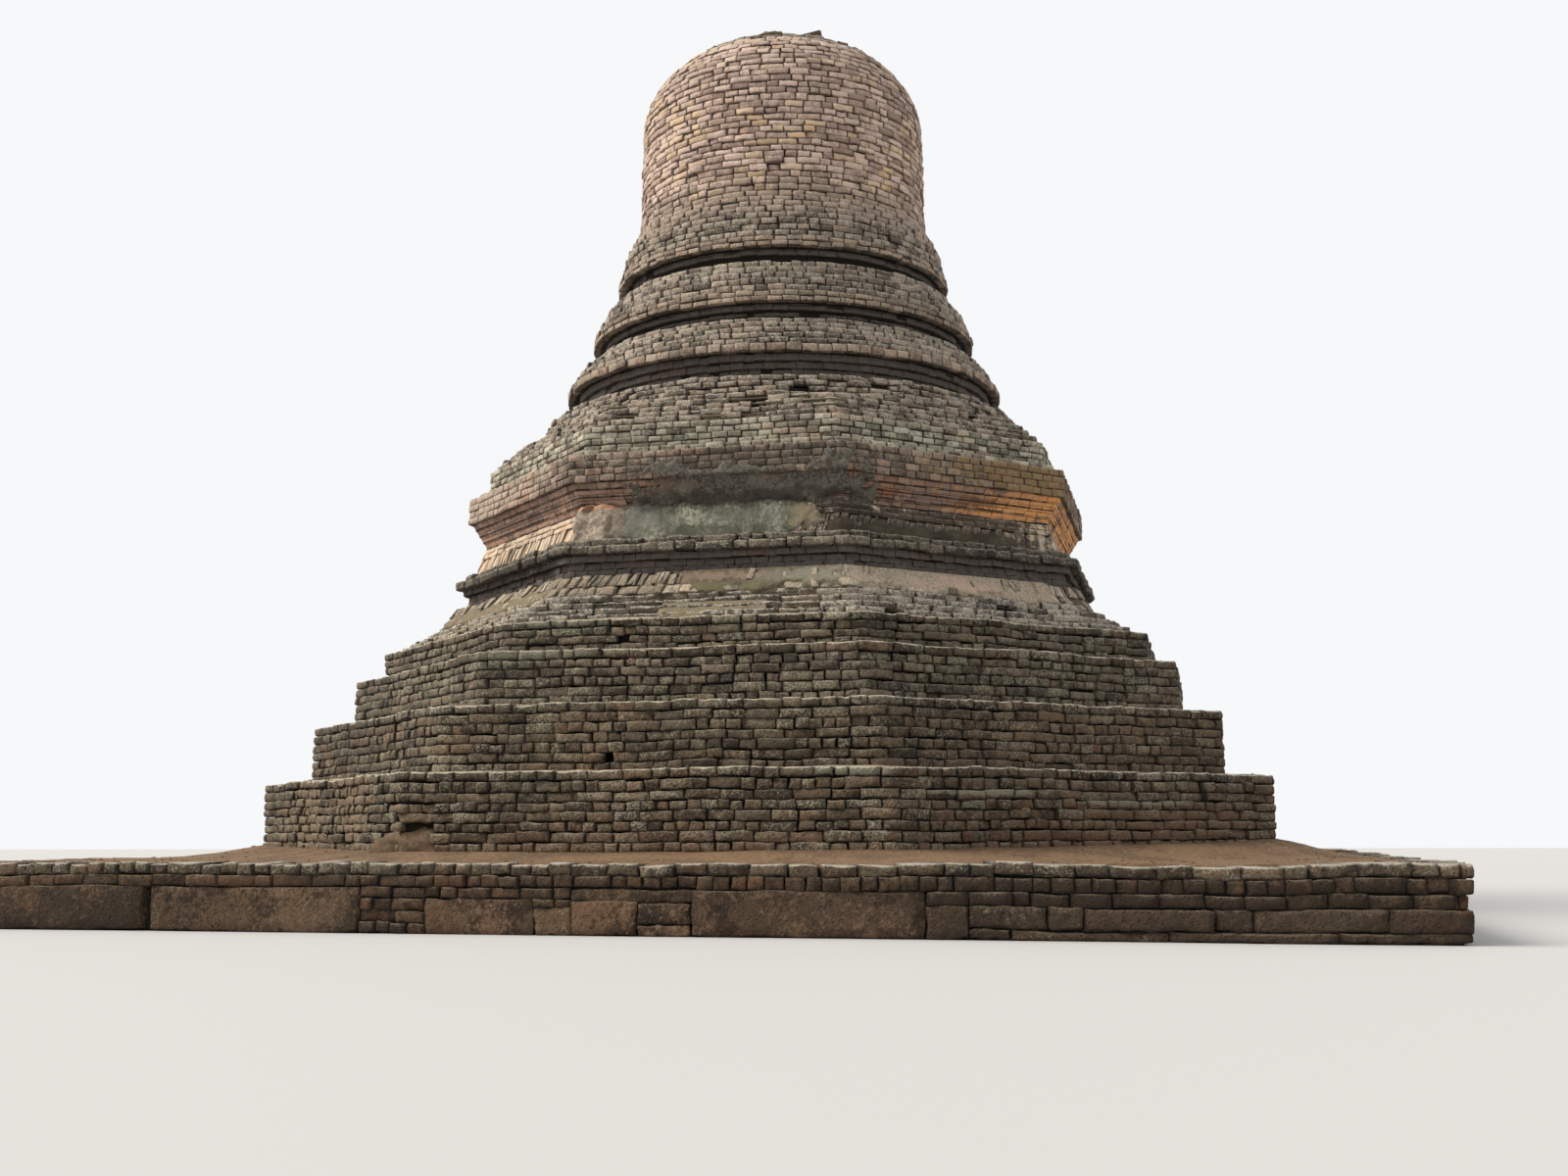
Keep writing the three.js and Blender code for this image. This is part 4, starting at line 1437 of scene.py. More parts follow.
@dataclass
class Sheet:
    """A coat of plaster or crust on an eight-sided wall, whose ragged edges dip into the wall.

    left, right, foot and top are its ends on the unrolled wall, and profile gives the wall's distance
    from the axis at some heights. swell is how far it stands out, ragged how far its outline wanders,
    lumps how uneven its face is, depth how far its back lies in the wall, edge how wide its broken edge
    is and square how square its outline is; level_top keeps its top straight. outline and face are the
    layers of noise that its outline and its face follow.
    """

    name: str
    finish: Rough
    left: float
    right: float
    foot: float
    top: float
    profile: tuple[tuple[float, float], ...]
    swell: float = 0.03
    ragged: float = 0.15
    lumps: float = 0.02
    cell: float = 0.04
    depth: float = 0.12
    edge: float = 0.035
    square: float = 4.0
    level_top: bool = False
    outline: tuple[tuple[float, float], ...] = ((1.0, 1.7), (0.7, 4.5), (0.4, 11.0))
    face: tuple[tuple[float, float], ...] = ((1.0, 1.6), (0.8, 3.7), (0.5, 9.0), (0.3, 19.0))
    replaced: tuple[str, ...] = ()

    def build(self) -> None:
        """Builds the sheet as a closed slab."""
        left, right = self.left - self.ragged, self.right + self.ragged
        foot, top = self.foot - self.ragged, self.top + (0.0 if self.level_top else self.ragged)
        columns = round((right - left) / self.cell)
        rows = round((top - foot) / self.cell)
        vertices: list[Triple] = []
        for i in range(columns + 1):
            along = left + (right - left) * i / columns
            for j in range(rows + 1):
                height = foot + (top - foot) * j / rows
                vertices.append(self._place(along, height, self._out(along, height)))
            for height in (foot, top):
                vertices.append(self._place(along, height, -self.depth))
        loop = rows + 3
        faces = []
        for a, b in ((i * loop, (i + 1) * loop) for i in range(columns)):
            faces += [(a + j, b + j, b + j + 1, a + j + 1) for j in range(rows)]
            faces.append((a, a + rows + 1, b + rows + 1, b))
            faces.append((a + rows, b + rows, b + rows + 2, a + rows + 2))
            faces.append((a + rows + 1, a + rows + 2, b + rows + 2, b + rows + 1))
        last = columns * loop
        faces.append((*range(rows + 1), rows + 2, rows + 1))
        faces.append((last, last + rows + 1, last + rows + 2, *range(last + rows, last, -1)))
        coated(faceted(self.name, vertices, faces), self.finish, self.replaced)

    def _out(self, along: float, height: float) -> float:
        """How far the sheet stands out from the wall at a place; below zero it is hidden."""
        place = Vector(self._place(along, height, 0.0))
        across = abs(2 * along - self.left - self.right) / (self.right - self.left)
        if self.level_top:
            tall, up = self.top - self.foot, (self.top - height) / (self.top - self.foot)
        else:
            tall = (self.top - self.foot) / 2
            up = abs(height - self.foot - tall) / tall
        wide = min((self.right - self.left) / 2, tall)
        inside = (1 - (across**self.square + max(0.0, up) ** self.square) ** (1 / self.square)) * wide
        wander = clouds(place, self.outline)
        cover = max(-1.0, min(1.0, (inside + self.ragged * wander) / self.edge))
        return self.swell * cover + self.lumps * clouds(place, self.face) * max(0.0, cover)

    def _place(self, along: float, height: float, out: float) -> Triple:
        """A place on the wall, bent round its plan."""
        heights, walls = zip(*self.profile)
        wall = float(np.interp(height, heights, walls))
        x, y = bent(Plan.OCTAGON, wall, along * wall / walls[0], out)
        return x, y, height


def lump(name: str, middle: Triple, reach: Triple, finish: Rough) -> bpy.types.Mesh:
    """Adds a rough heap with the given middle and half sizes, such as soil that has run out of a hole."""
    shape = bmesh.new()
    bmesh.ops.create_icosphere(shape, subdivisions=4, radius=1.0)
    for vertex in shape.verts:
        place = Vector(a * b for a, b in zip(vertex.co, reach)) + Vector(middle)
        size = 1 + 0.35 * noise.noise(place * 3) + 0.2 * noise.noise(place * 9)
        vertex.co = Vector(middle) + (place - Vector(middle)) * size
    return coated(smooth(freed(name, shape)), finish)


@dataclass(frozen=True)
class Stone:
    """A stone of the platform's wall: its ends along the wall and its foot and top, in metres."""

    left: float
    right: float
    low: float
    high: float


def row_of(low: float, high: float, *joints: float) -> tuple[Stone, ...]:
    """Stones of one height between neighbouring joints."""
    return tuple(Stone(left, right, low, high) for left, right in zip(joints, joints[1:]))


@dataclass
class Platform:
    """The square wall, its coping and the earth inside it.

    The coping's headers give way to stretchers at the split. banks say how high the earth banks up
    against the terrace: at least, and more on the left and on the right.
    """

    bond: Bond = Bond(header=0.3, stretcher=0.61, bevel=0.02, push=0.014)
    slab_bond: Bond = Bond(
        joint=0.012, bevel=0.022, bulge=0.008, wear=0.055, push=0.008, sunk=0.015, tilt=0.012
    )
    coping_bond: Bond = Bond(
        header=0.31, stretcher=0.6, spread=0.2, bevel=0.026, wear=0.045, push=0.018, uneven=0.012
    )
    slab_depth: float = 0.45
    row_depth: float = 0.35
    coping_depth: float = 0.5
    lap: float = 0.4
    split: float = -0.3
    many_headers: float = 0.85
    few_headers: float = 0.15
    coping_headers: float = 0.95
    slabs: tuple[Stone, ...] = (
        Stone(-12.6, -10.7, 0.0, 0.72),
        Stone(-10.7, -7.92, 0.0, 0.73),
        Stone(-7.78, -3.94, 0.0, 0.73),
        Stone(-2.78, -0.93, 0.0, 0.57),
        Stone(-0.93, -0.28, 0.0, 0.43),
        Stone(-0.3, 0.8, 0.0, 0.53),
        Stone(-0.3, 1.74, 0.52, 0.74),
        Stone(0.8, 1.66, 0.2, 0.52),
        Stone(0.8, 1.66, 0.0, 0.2),
        Stone(1.66, 5.33, 0.0, 0.7),
        Stone(5.33, 5.98, 0.0, 0.49),
        *row_of(0.16, 0.49, 5.98, 7.13, 7.65, 9.52, 10.07, 11.9, 13.4),
        *row_of(0.0, 0.16, 5.98, 6.6, 8.9, 11.2, 13.4),
    )
    header_rows: tuple[Stone, ...] = (
        Stone(-3.94, -2.78, 0.0, 0.18),
        Stone(-3.94, -2.78, 0.37, 0.56),
        Stone(-2.78, -0.3, 0.57, 0.74),
        Stone(-0.93, -0.3, 0.43, 0.57),
        Stone(1.74, 13.4, 0.7, 0.92),
        Stone(-3.94, 1.74, 0.74, 0.92),
    )
    stretcher_rows: tuple[Stone, ...] = (
        Stone(-3.94, -2.78, 0.18, 0.37),
        Stone(-3.94, -2.78, 0.56, 0.74),
        Stone(-12.6, -3.94, 0.73, 0.92),
        Stone(5.33, 13.4, 0.49, 0.7),
    )
    cell: float = 0.28
    tuck: float = 0.28
    edge_drop: float = 0.012
    banks: Triple = (0.02, 0.08, 0.17)
    bank_reach: float = 0.9
    fill_foot: float = 0.02

    def build(self) -> None:
        """Builds the wall, the coping and the fill."""
        half = apothem_of("platform_wall_front")
        sides = ("front", "back", "left", "right")
        walls = [f"platform_wall_{side}" for side in sides]
        copings = [f"platform_coping_{side}" for side in sides]
        slabs = BlockWork("platform_slabs", SLAB_LATERITE, self.slab_bond, 11, columns=12, rows=4)
        courses = BlockWork("platform_courses", WALL_LATERITE, self.bond, 12)
        coping = BlockWork("platform_coping", COPING_LATERITE, self.coping_bond, 13)
        row_kinds = ((self.header_rows, self.many_headers), (self.stretcher_rows, self.few_headers))
        low, high = span("platform_coping_front")
        top_course = Course(half, low, high - low, self.coping_depth, plan=Plan.SQUARE)
        top_parts = (
            (-half - self.lap, self.split, self.coping_headers),
            (self.split, half - self.lap, self.few_headers),
        )
        for number in range(Plan.SQUARE.value):
            middle = number * 2 * half
            for stone in self.slabs:
                course = self._course(half, stone, self.slab_depth)
                slabs.stone(course, middle + stone.left, middle + stone.right)
            for rows, headers in row_kinds:
                bond = replace(self.bond, headers=headers)
                for row in rows:
                    course = self._course(half, row, self.row_depth)
                    courses.run(course, middle + row.left, middle + row.right, bond)
            for left, right, headers in top_parts:
                bond = replace(self.coping_bond, headers=headers)
                coping.run(top_course, middle + left, middle + right, bond)
        slabs.build()
        courses.build(walls)
        coping.build(copings)
        core("platform_core", walls + copings, SHADOW_DARK_MORTAR, inset=0.12, drop=0.12)
        self._fill()

    @staticmethod
    def _course(half: float, stone: Stone, depth: float) -> Course:
        """The ring that a stone of the wall belongs to."""
        return Course(half, stone.low, stone.high - stone.low, depth, plan=Plan.SQUARE)

    def _fill(self) -> None:
        """The earth inside the walls, which banks up against the lowest terrace."""
        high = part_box("platform_fill")[1]
        reach = high.x + self.tuck
        edge = span("platform_coping_front")[1] - self.edge_drop
        terrace = apothem_of("terrace_1_wall")
        count = round(2 * reach / self.cell)
        least, left, right = self.banks
        shape = bmesh.new()
        bmesh.ops.create_grid(shape, x_segments=count, y_segments=count, size=reach)
        for vertex in shape.verts:
            x, y = vertex.co.x, vertex.co.y
            across = max(abs(x), abs(y), (abs(x) + abs(y)) / math.sqrt(2))
            out = max(0.0, across - terrace)
            share = min(1.0, out / (high.x - terrace))
            sideways = max(-1.0, min(1.0, x / terrace))
            bank = least + left * max(0.0, -sideways) ** 2 + right * max(0.0, sideways) ** 2
            level = high.z + (edge - high.z) * share + bank * math.exp(-((out / self.bank_reach) ** 2))
            vertex.co.z = level + 0.025 * noise.noise(vertex.co * 0.9) + 0.014 * noise.noise(vertex.co * 4)
        rim = bmesh.ops.extrude_edge_only(shape, edges=[e for e in shape.edges if e.is_boundary])
        for vertex in (v for v in rim["geom"] if isinstance(v, bmesh.types.BMVert)):
            vertex.co.z = self.fill_foot
        bmesh.ops.contextual_create(shape, geom=[e for e in shape.edges if e.is_boundary])
        bmesh.ops.recalc_face_normals(shape, faces=shape.faces[:])
        mesh = coated(smooth(freed("platform_earth", shape)), EARTH, ["platform_fill"])
        Scatter(density=1.7, size=0.06, seed=7, finish=EARTH).build("platform_chips", mesh)


@dataclass
class Terraces:
    """The four eight-sided terraces and the thin courses above them.

    headers are the shares of headers in every other course. Soil stays a rim behind each edge, and it and
    the paving run a tuck under the wall behind.
    """

    courses: tuple[int, ...] = (8, 7, 6, 4)
    bond: Bond = Bond()
    cap_bond: Bond = Bond(header=0.3, stretcher=0.6, headers=0.5, bevel=0.02, push=0.016, uneven=0.008)
    slope_bond: Bond = Bond(
        header=0.42, stretcher=0.72, headers=0.5, joint=0.006, bevel=0.012, bulge=0.003, push=0.025,
        tilt=0.045, uneven=0.006, lost=0.015,
    )
    headers: tuple[float, float] = (0.85, 0.1)
    unequal: float = 0.08
    depth: float = 0.3
    cap_depth: float = 0.42
    slope_depth: float = 0.4
    lift: float = 0.01
    paving: float = 0.14
    narrowest: float = 0.1
    rim: float = 0.14
    tuck: float = 0.05
    slope_courses: int = 4
    slope_rim: float = 0.06
    slope_tuck: float = 0.03
    damages: tuple[tuple[Damage, ...], ...] = (
        (
            Damage(-4.1, 1.42, 0.3, gone=True),
            Damage(-4.3, 1.7, 0.8, 0.07),
            Damage(-7.2, 2.5, 1.8, 0.05),
            Damage(-10.0, 1.8, 1.6, 0.05),
            Damage(-1.6, 2.1, 0.45, 0.06),
            Damage(2.6, 1.35, 0.5, 0.04),
        ),
        (
            Damage(-0.84, 3.0, 0.08, gone=True),
            Damage(-0.95, 3.42, 0.3, 0.05),
            Damage(1.2, 3.6, 0.25, 0.07),
            Damage(1.84, 3.57, 0.2, 0.12),
        ),
        (Damage(-0.95, 4.67, 0.32, 0.07), Damage(0.6, 4.2, 0.35, 0.05), Damage(-1.9, 4.85, 0.3, 0.06)),
        (
            Damage(-1.02, 5.17, 0.07, gone=True),
            Damage(-1.06, 5.34, 0.3, 0.08),
            Damage(0.7, 5.1, 0.35, 0.05),
        ),
    )
    slope_damages: tuple[Damage, ...] = (Damage(-0.6, 5.85, 1.4, 0.04), Damage(2.2, 6.1, 0.8, 0.04))
    setbacks: tuple[tuple[Setback, ...], ...] = (
        (Setback(4.75, 8.05, 2.32), Setback(8.05, 11.6, 2.14)),
        (),
        (),
        (),
    )

    def build(self) -> None:
        """Builds each terrace's wall, cap and tread, and the thin courses."""
        for i, count in enumerate(self.courses, 1):
            self._terrace(i, count)
        numbers = range(1, len(self.courses) + 1)
        nodes = [f"terrace_{i}_{part}" for i in numbers for part in ("wall", "cap")]
        slopes = ["slope_courses_lower", "slope_courses_upper"]
        core("terrace_core", nodes, SHADOW_DARK_MORTAR, inset=0.2, drop=0.06)
        core("slope_core", slopes, SHADOW_DARK_MORTAR, inset=0.14)
        self._slopes(slopes)
        lump("hollow_soil", middle=(-4.15, -10.46, 1.3), reach=(0.7, 0.3, 0.38), finish=RED_SOIL)

    def _terrace(self, number: int, count: int) -> None:
        """One terrace of the given number of courses."""
        wall, cap = f"terrace_{number}_wall", f"terrace_{number}_cap"
        apothem = apothem_of(wall)
        base, top = span(wall)[0], span(cap)[1]
        # The two upper terraces take the paler copy, painted with haze light.
        finish = LATERITE if number < 3 else HIGH_LATERITE
        worn = self.damages[number - 1], self.setbacks[number - 1]
        work = BlockWork(f"terrace_{number}_blocks", finish, self.bond, 20 + number, *worn)
        caps = BlockWork(f"terrace_{number}_caps", CAP_LATERITE, self.cap_bond, 24 + number, *worn)
        for i, low, rise in rings(base, top, count, self.unequal):
            if i == count - 1:
                caps.lay(Course(apothem, low + self.lift, rise, self.cap_depth))
            else:
                bond = replace(self.bond, headers=self.headers[i % 2])
                work.lay(Course(apothem, low, rise, self.depth), bond)
        last = number == len(self.courses)
        upper = apothem_of("slope_courses_lower" if last else f"terrace_{number + 1}_wall")
        inner = apothem - self.cap_depth
        if inner - upper > self.narrowest:
            depth = inner - upper + self.tuck
            paving = Course(inner, top - self.paving, self.paving, depth)
            caps.lay(paving, replace(self.cap_bond, lost=0.02))
        work.build()
        caps.build()
        outer, inner = apothem - self.rim, upper - self.tuck
        SoilBand(f"terrace_{number}_soil", outer, inner, top, seed=number).build()

    def _slopes(self, nodes: list[str]) -> None:
        """The four thin courses that step back above the last terrace."""
        work = BlockWork("slope_blocks", SLOPE_LATERITE, self.slope_bond, 31, self.slope_damages)
        low, high = span(nodes[0])[0], span(nodes[1])[1]
        first = apothem_of(nodes[0])
        step = (first - apothem_of(nodes[1])) / 2
        for i, base, rise in rings(low, high, self.slope_courses):
            apothem = first - i * step
            work.lay(Course(apothem, base, rise, self.slope_depth))
            SoilBand(
                f"slope_{i}_soil", outer=apothem - self.slope_rim,
                inner=apothem - step - self.slope_tuck, level=base + rise,
                deep=0.05 if i == self.slope_courses - 1 else 0.03, thin=-0.05, finish=MOSSY_SOIL,
                strips=3, stones=0.0,
            ).build()
        work.build()
        head = apothem_of(nodes[1]) - step
        Sheet(
            "slope_soil", OLIVE_SOIL, left=-0.45, right=1.5, foot=low + 0.05, top=low + 0.26,
            profile=((low, first + self.slope_rim), (high, head + self.slope_rim)), swell=0.05,
            ragged=0.12, lumps=0.04, edge=0.07,
        ).build()


@dataclass
class Body:
    """The moulded eight-sided body: lotus band, recess, lip, neck, cornice and upper step."""

    brick: Bond = Bond(
        header=0.27, stretcher=0.34, headers=0.5, joint=0.006, bevel=0.009, bulge=0.002, wear=0.016,
        push=0.007, sunk=0.03, tilt=0.014, uneven=0.004,
    )
    corbel: Bond = Bond(
        header=0.27, stretcher=0.34, headers=0.5, spread=0.12, joint=0.003, bevel=0.003, bulge=0.0,
        wear=0.01, push=0.004, sunk=0.01, tilt=0.008, uneven=0.001,
    )
    soldier: Bond = Bond(
        header=0.11, stretcher=0.17, headers=0.6, spread=0.35, bevel=0.016, bulge=0.006, wear=0.036,
        push=0.022, sunk=0.08, tilt=0.1, uneven=0.015, lost=0.05,
    )
    rubble: Bond = Bond(
        header=0.2, stretcher=0.42, headers=0.6, spread=0.25, bevel=0.02, push=0.025, tilt=0.1, lost=0.06
    )
    stone: Bond = Bond(
        header=0.36, stretcher=0.68, headers=0.5, spread=0.25, bevel=0.022, bulge=0.006, wear=0.045,
        push=0.016, uneven=0.01,
    )
    rubble_rise: float = 0.2
    recess: Triple = (0.15, 0.15, 0.03)
    soldier_rise: float = 0.4
    corbel_courses: int = 5
    corbel_reach: float = 0.352
    cornice_courses: int = 4
    ledge_rise: float = 0.14
    step_courses: int = 4
    step_back: float = 0.203

    def build(self) -> None:
        """Builds the body from the lotus band up."""
        self._lotus()
        self._recess_and_lip()
        self._neck()
        self._cornice()
        self._upper_step()

    def _lotus(self) -> None:
        """Slanted bricks of the lower lotus band, over a rough course."""
        node = "lower_lotus_band"
        base, top = span(node)
        foot, recess = apothem_of(node), apothem_of("recess_wall")
        lean = (foot - recess - LOTUS_HEAD) / (top - base)
        split = base + self.rubble_rise
        work = BlockWork("lotus_bricks", LOTUS_BRICK, self.soldier, 41, sag=0.02)
        rough = Course(foot, base, split - base, depth=0.2, lean=lean)
        work.lay(rough, self.rubble)
        apothem = foot - lean * (split - base)
        work.lay(Course(apothem, split, top - split, depth=0.15, lean=lean, shear=0.2))
        work.build()
        core("lotus_core", [node], JOINT_SOIL, inset=0.07)
        Sheet(
            "lotus_soil", OLIVE_SOIL, left=-9.2, right=-2.9, foot=base - 0.08, top=base + 0.22,
            profile=((base, foot), (top, recess + LOTUS_HEAD)), swell=0.05, ragged=0.09, lumps=0.04,
            edge=0.06,
        ).build()

    def _recess_and_lip(self) -> None:
        """Shaded courses under the lip, the lip's great stones and the course that covers them."""
        base, top = span("recess_wall")
        wall = apothem_of("recess_wall")
        rough = replace(self.brick, wear=0.03, push=0.012, bevel=0.008, joint=0.004, tilt=0.025)
        shaded = BlockWork("recess_bricks", SHADED_BRICK, rough, 42, sag=0.02)
        for i, low, rise in rings(base, top, len(self.recess)):
            shaded.lay(Course(wall - self.recess[i], low, rise, depth=0.3))
        shaded.build()
        lip = BlockWork("lip_stones", LIP_LATERITE, self.stone, 43, columns=6, rows=3, sag=0.035)
        low, high = span("moulding_lip")
        lip.lay(Course(apothem_of("moulding_lip"), low - 0.01, high - low + 0.035, depth=0.6))
        low, high = span("moulding_cover")
        apothem = apothem_of("moulding_cover") - 0.05
        cover = replace(self.stone, header=0.3, stretcher=0.6, push=0.025)
        lip.lay(Course(apothem, low + 0.015, high - low, depth=0.5), cover)
        lip.build()
        nodes = ["recess_wall", "moulding_lip", "moulding_cover"]
        core("moulding_core", nodes, SHADOW_DARK_MORTAR)

    def _neck(self) -> None:
        """Slanted bricks at the foot of the neck and level courses above them."""
        base, top = span("neck")
        foot = apothem_of("neck")
        lean = (foot - apothem_of("cornice_corbels") + NECK_HEAD) / (top - base)
        split = base + self.soldier_rise
        soldier = replace(
            self.soldier, bevel=0.009, bulge=0.002, wear=0.018, push=0.01, tilt=0.05, lost=0.01
        )
        work = BlockWork("neck_bricks", NECK_BRICK, soldier, 44, sag=0.015)
        work.lay(Course(foot, base, split - base, depth=0.15, lean=lean, shear=0.35))
        for _, low, rise in rings(split, top, 2):
            apothem = foot - lean * (low - base)
            work.lay(Course(apothem, low, rise, depth=0.2, lean=lean), self.brick)
        work.build()
        core("neck_core", ["neck"], RED_MORTAR, inset=0.06)

    def _cornice(self) -> None:
        """Corbelled courses and the upright face above them."""
        base, top = span("cornice_corbels")
        last = apothem_of("cornice_corbels")
        step = self.corbel_reach / self.corbel_courses * math.cos(math.pi / Plan.OCTAGON.value)
        corbels = BlockWork("corbel_bricks", CORBEL_BRICK, self.corbel, 45, sag=0.02)
        for i, low, rise in rings(base, top, self.corbel_courses):
            foot = last - (self.corbel_courses - i) * step
            corbels.lay(Course(foot, low, rise, depth=0.35, lean=-step / rise))
        corbels.build()
        base, top = span("cornice_face")
        face = apothem_of("cornice_face")
        work = BlockWork("cornice_bricks", BODY_BRICK, self.brick, 47, sag=0.02)
        for _, low, rise in rings(base, top, self.cornice_courses, 0.06):
            work.lay(Course(face, low, rise, depth=0.45))
        work.build()
        core("cornice_core", ["cornice_corbels", "cornice_face"], RED_MORTAR, inset=0.07)

    def _upper_step(self) -> None:
        """The ledge course and the low wall set back above it."""
        base, top = span("upper_step")
        ledge = apothem_of("upper_step")
        inner = ledge - self.step_back
        split = base + self.ledge_rise
        bond = replace(self.brick, wear=0.022, push=0.012, bevel=0.013, joint=0.008, uneven=0.006)
        work = BlockWork("upper_step_bricks", STEP_BRICK, bond, 46, sag=0.02)
        work.lay(Course(ledge, base, split - base, depth=0.4))
        for _, low, rise in rings(split, top, self.step_courses):
            work.lay(Course(inner, low, rise, depth=0.4))
        work.build()
        core("upper_step_core", ["upper_step"], SHADOW_DARK_MORTAR)
        SoilBand(
            "ledge_soil", outer=ledge - 0.02, inner=inner - 0.05, level=split, deep=0.05,
            thin=-0.01, finish=MOSSY_SOIL, strips=2,
        ).build()


@dataclass
class RecedingCourses:
    """Courses that turn from eight sides to round as they step back.

    Each entry of setbacks is a node, its plan, its number of courses and how far each steps back.
    """

    bond: Bond = Bond(
        header=0.26, stretcher=0.44, joint=0.009, bevel=0.02, bulge=0.004, wear=0.035, push=0.03, lost=0.03
    )
    depth: float = 0.45
    soil_rise: float = 0.15
    last_ledge: float = 0.3
    setbacks: tuple[tuple[str, Plan, int, float], ...] = (
        ("octagon_courses", Plan.OCTAGON, 4, 0.166),
        ("sixteen_side_courses", Plan.SIXTEEN, 2, 0.108),
        ("round_courses", Plan.ROUND, 2, 0.07),
    )

    def build(self) -> None:
        """Builds all the receding courses as one piece."""
        work = BlockWork("receding_blocks", MOSSY_BRICK, self.bond, 51)
        for node, plan, count, step in self.setbacks:
            base, top = span(node)
            for i, low, rise in rings(base, top, count):
                work.lay(Course(apothem_of(node) - i * step, low, rise, self.depth, plan=plan))
        work.build()
        core("receding_core", [node for node, *_ in self.setbacks], SHADOW_DARK_MORTAR, inset=0.1)
        node, _, count, step = self.setbacks[0]
        for i in range(count):
            edge = apothem_of(node) - i * step
            ledge = step if i < count - 1 else self.last_ledge
            SoilBand(
                f"octagon_{i}_soil", outer=edge - 0.03, inner=edge - ledge - 0.04,
                level=span(node)[0] + self.soil_rise * (i + 1), deep=0.04, thin=-0.03, finish=MOSSY_SOIL,
                strips=2, stones=0.0,
            ).build()


@dataclass
class Ring:
    """One ring moulding: the dark undercut, the lip and the slope above it.

    cut is how far the undercut's foot stands back and curve how it bends out to the lip.
    """

    name: str
    seed: int
    undercut_courses: int
    lip_courses: int
    slope_courses: int
    cut: float = 0.3
    curve: float = 1.6
    unequal: float = 0.12
    bond: Bond = Bond(
        header=0.26, stretcher=0.4, headers=0.5, bevel=0.016, bulge=0.003, wear=0.024, push=0.016
    )

    def build(self) -> None:
        """Builds the ring's courses and its core."""
        undercut, roll, slope = (f"{self.name}_ring_{part}" for part in ("undercut", "lip", "slope"))
        self._undercut(undercut)
        self._lip(roll)
        work = BlockWork(f"{self.name}_ring_blocks", MOSSY_BRICK, self.bond, self.seed + 1, sag=0.02)
        base, top = span(slope)
        for _, low, rise in rings(base, top, self.slope_courses, self.unequal):
            radius = radius_of(slope, low + 0.6 * rise)
            work.lay(Course(radius, low, rise, depth=0.4, plan=Plan.ROUND))
        work.build()
        core(f"{self.name}_ring_core", [undercut, roll, slope], SHADOW_DARK_MORTAR)

    def _undercut(self, node: str) -> None:
        """The shaded courses that bend out to the lip, and the soil at their foot."""
        base, top = span(node)
        outer = apothem_of(node)
        bond = replace(self.bond, joint=0.003, bevel=0.004, bulge=0.0, wear=0.014, push=0.006, tilt=0.01)
        shaded = BlockWork(f"{self.name}_ring_shade_bricks", SHADED_BRICK, bond, self.seed, sag=0.01)
        foot = BlockWork(f"{self.name}_ring_foot_bricks", SKYLIT_UNDERCUT_BRICK, bond, self.seed + 2, sag=0.01)
        for i, low, rise in rings(base, top, self.undercut_courses):
            share = (i + 0.5) / self.undercut_courses
            radius = outer - self.cut * (1 - share**self.curve)
            # The foot course takes the lighter copy, painted as lit by the sky.
            (shaded if i else foot).lay(Course(radius, low, rise, depth=0.3, plan=Plan.ROUND))
        shaded.build()
        foot.build()
        SoilBand(
            f"{self.name}_ring_soil", outer=outer + 0.09, inner=outer - 0.36, level=base,
            deep=0.05, thin=-0.02, plan=Plan.ROUND, finish=MOSSY_SOIL, strips=2, stones=0.0,
        ).build()

    def _lip(self, node: str) -> None:
        """The even row of bricks along the lip."""
        row = replace(
            self.bond, header=0.32, headers=0.9, spread=0.12, joint=0.006, bevel=0.011, wear=0.016,
            push=0.01,
        )
        edge = BlockWork(f"{self.name}_ring_lip_bricks", RING_LIP_BRICK, row, self.seed + 3, sag=0.02)
        base, top = span(node)
        for _, low, rise in rings(base, top, self.lip_courses):
            edge.lay(Course(apothem_of(node), low, rise, depth=0.45, plan=Plan.ROUND))
        edge.build()


@dataclass
class Bell:
    """The bell's drum, shoulder and broken crown."""

    drum_courses: int = 17
    shoulder_courses: int = 11
    crown_courses: int = 3
    unequal: float = 0.1
    bond: Bond = Bond(
        stretcher=0.47, joint=0.01, bevel=0.014, bulge=0.004, wear=0.034, sunk=0.03, uneven=0.009
    )

    def build(self) -> None:
        """Builds the bell from its foot to the crown."""
        work = BlockWork("bell_blocks", BELL_BRICK, self.bond, 81, sag=0.025)
        base, top = span("bell_drum")
        for _, low, rise in rings(base, top, self.drum_courses, self.unequal):
            radius = radius_of("bell_drum", low + rise / 2)
            work.lay(Course(radius, low, rise, depth=0.25, plan=Plan.ROUND))
        base, top = span("bell_shoulder")
        for _, low, rise in rings(base, top, self.shoulder_courses, self.unequal):
            near, far = radius_of("bell_shoulder", low), radius_of("bell_shoulder", low + rise)
            work.lay(Course(near, low, rise, depth=0.3, lean=(near - far) / rise * 0.8, plan=Plan.ROUND))
        work.build()
        broken = replace(self.bond, lost=0.12, push=0.05, wear=0.035)
        crown = BlockWork("crown_blocks", MOSSY_BRICK, broken, 82)
        base, top = span("bell_crown")
        for _, low, rise in rings(base, top, self.crown_courses):
            radius = radius_of("bell_crown", low + rise / 2)
            crown.lay(Course(radius, low, rise, depth=0.5, plan=Plan.ROUND))
        crown.build()
        heap = lump("crown_rubble", middle=(0.0, 0.0, top - 0.16), reach=(1.9, 1.9, 0.17), finish=RUBBLE)
        Scatter(density=16.0, size=0.13, seed=9, finish=RUBBLE).build("crown_chips", heap)
        nodes = ["bell_drum", "bell_shoulder", "bell_crown"]
        core("bell_core", nodes, RED_MORTAR, drop=0.05)


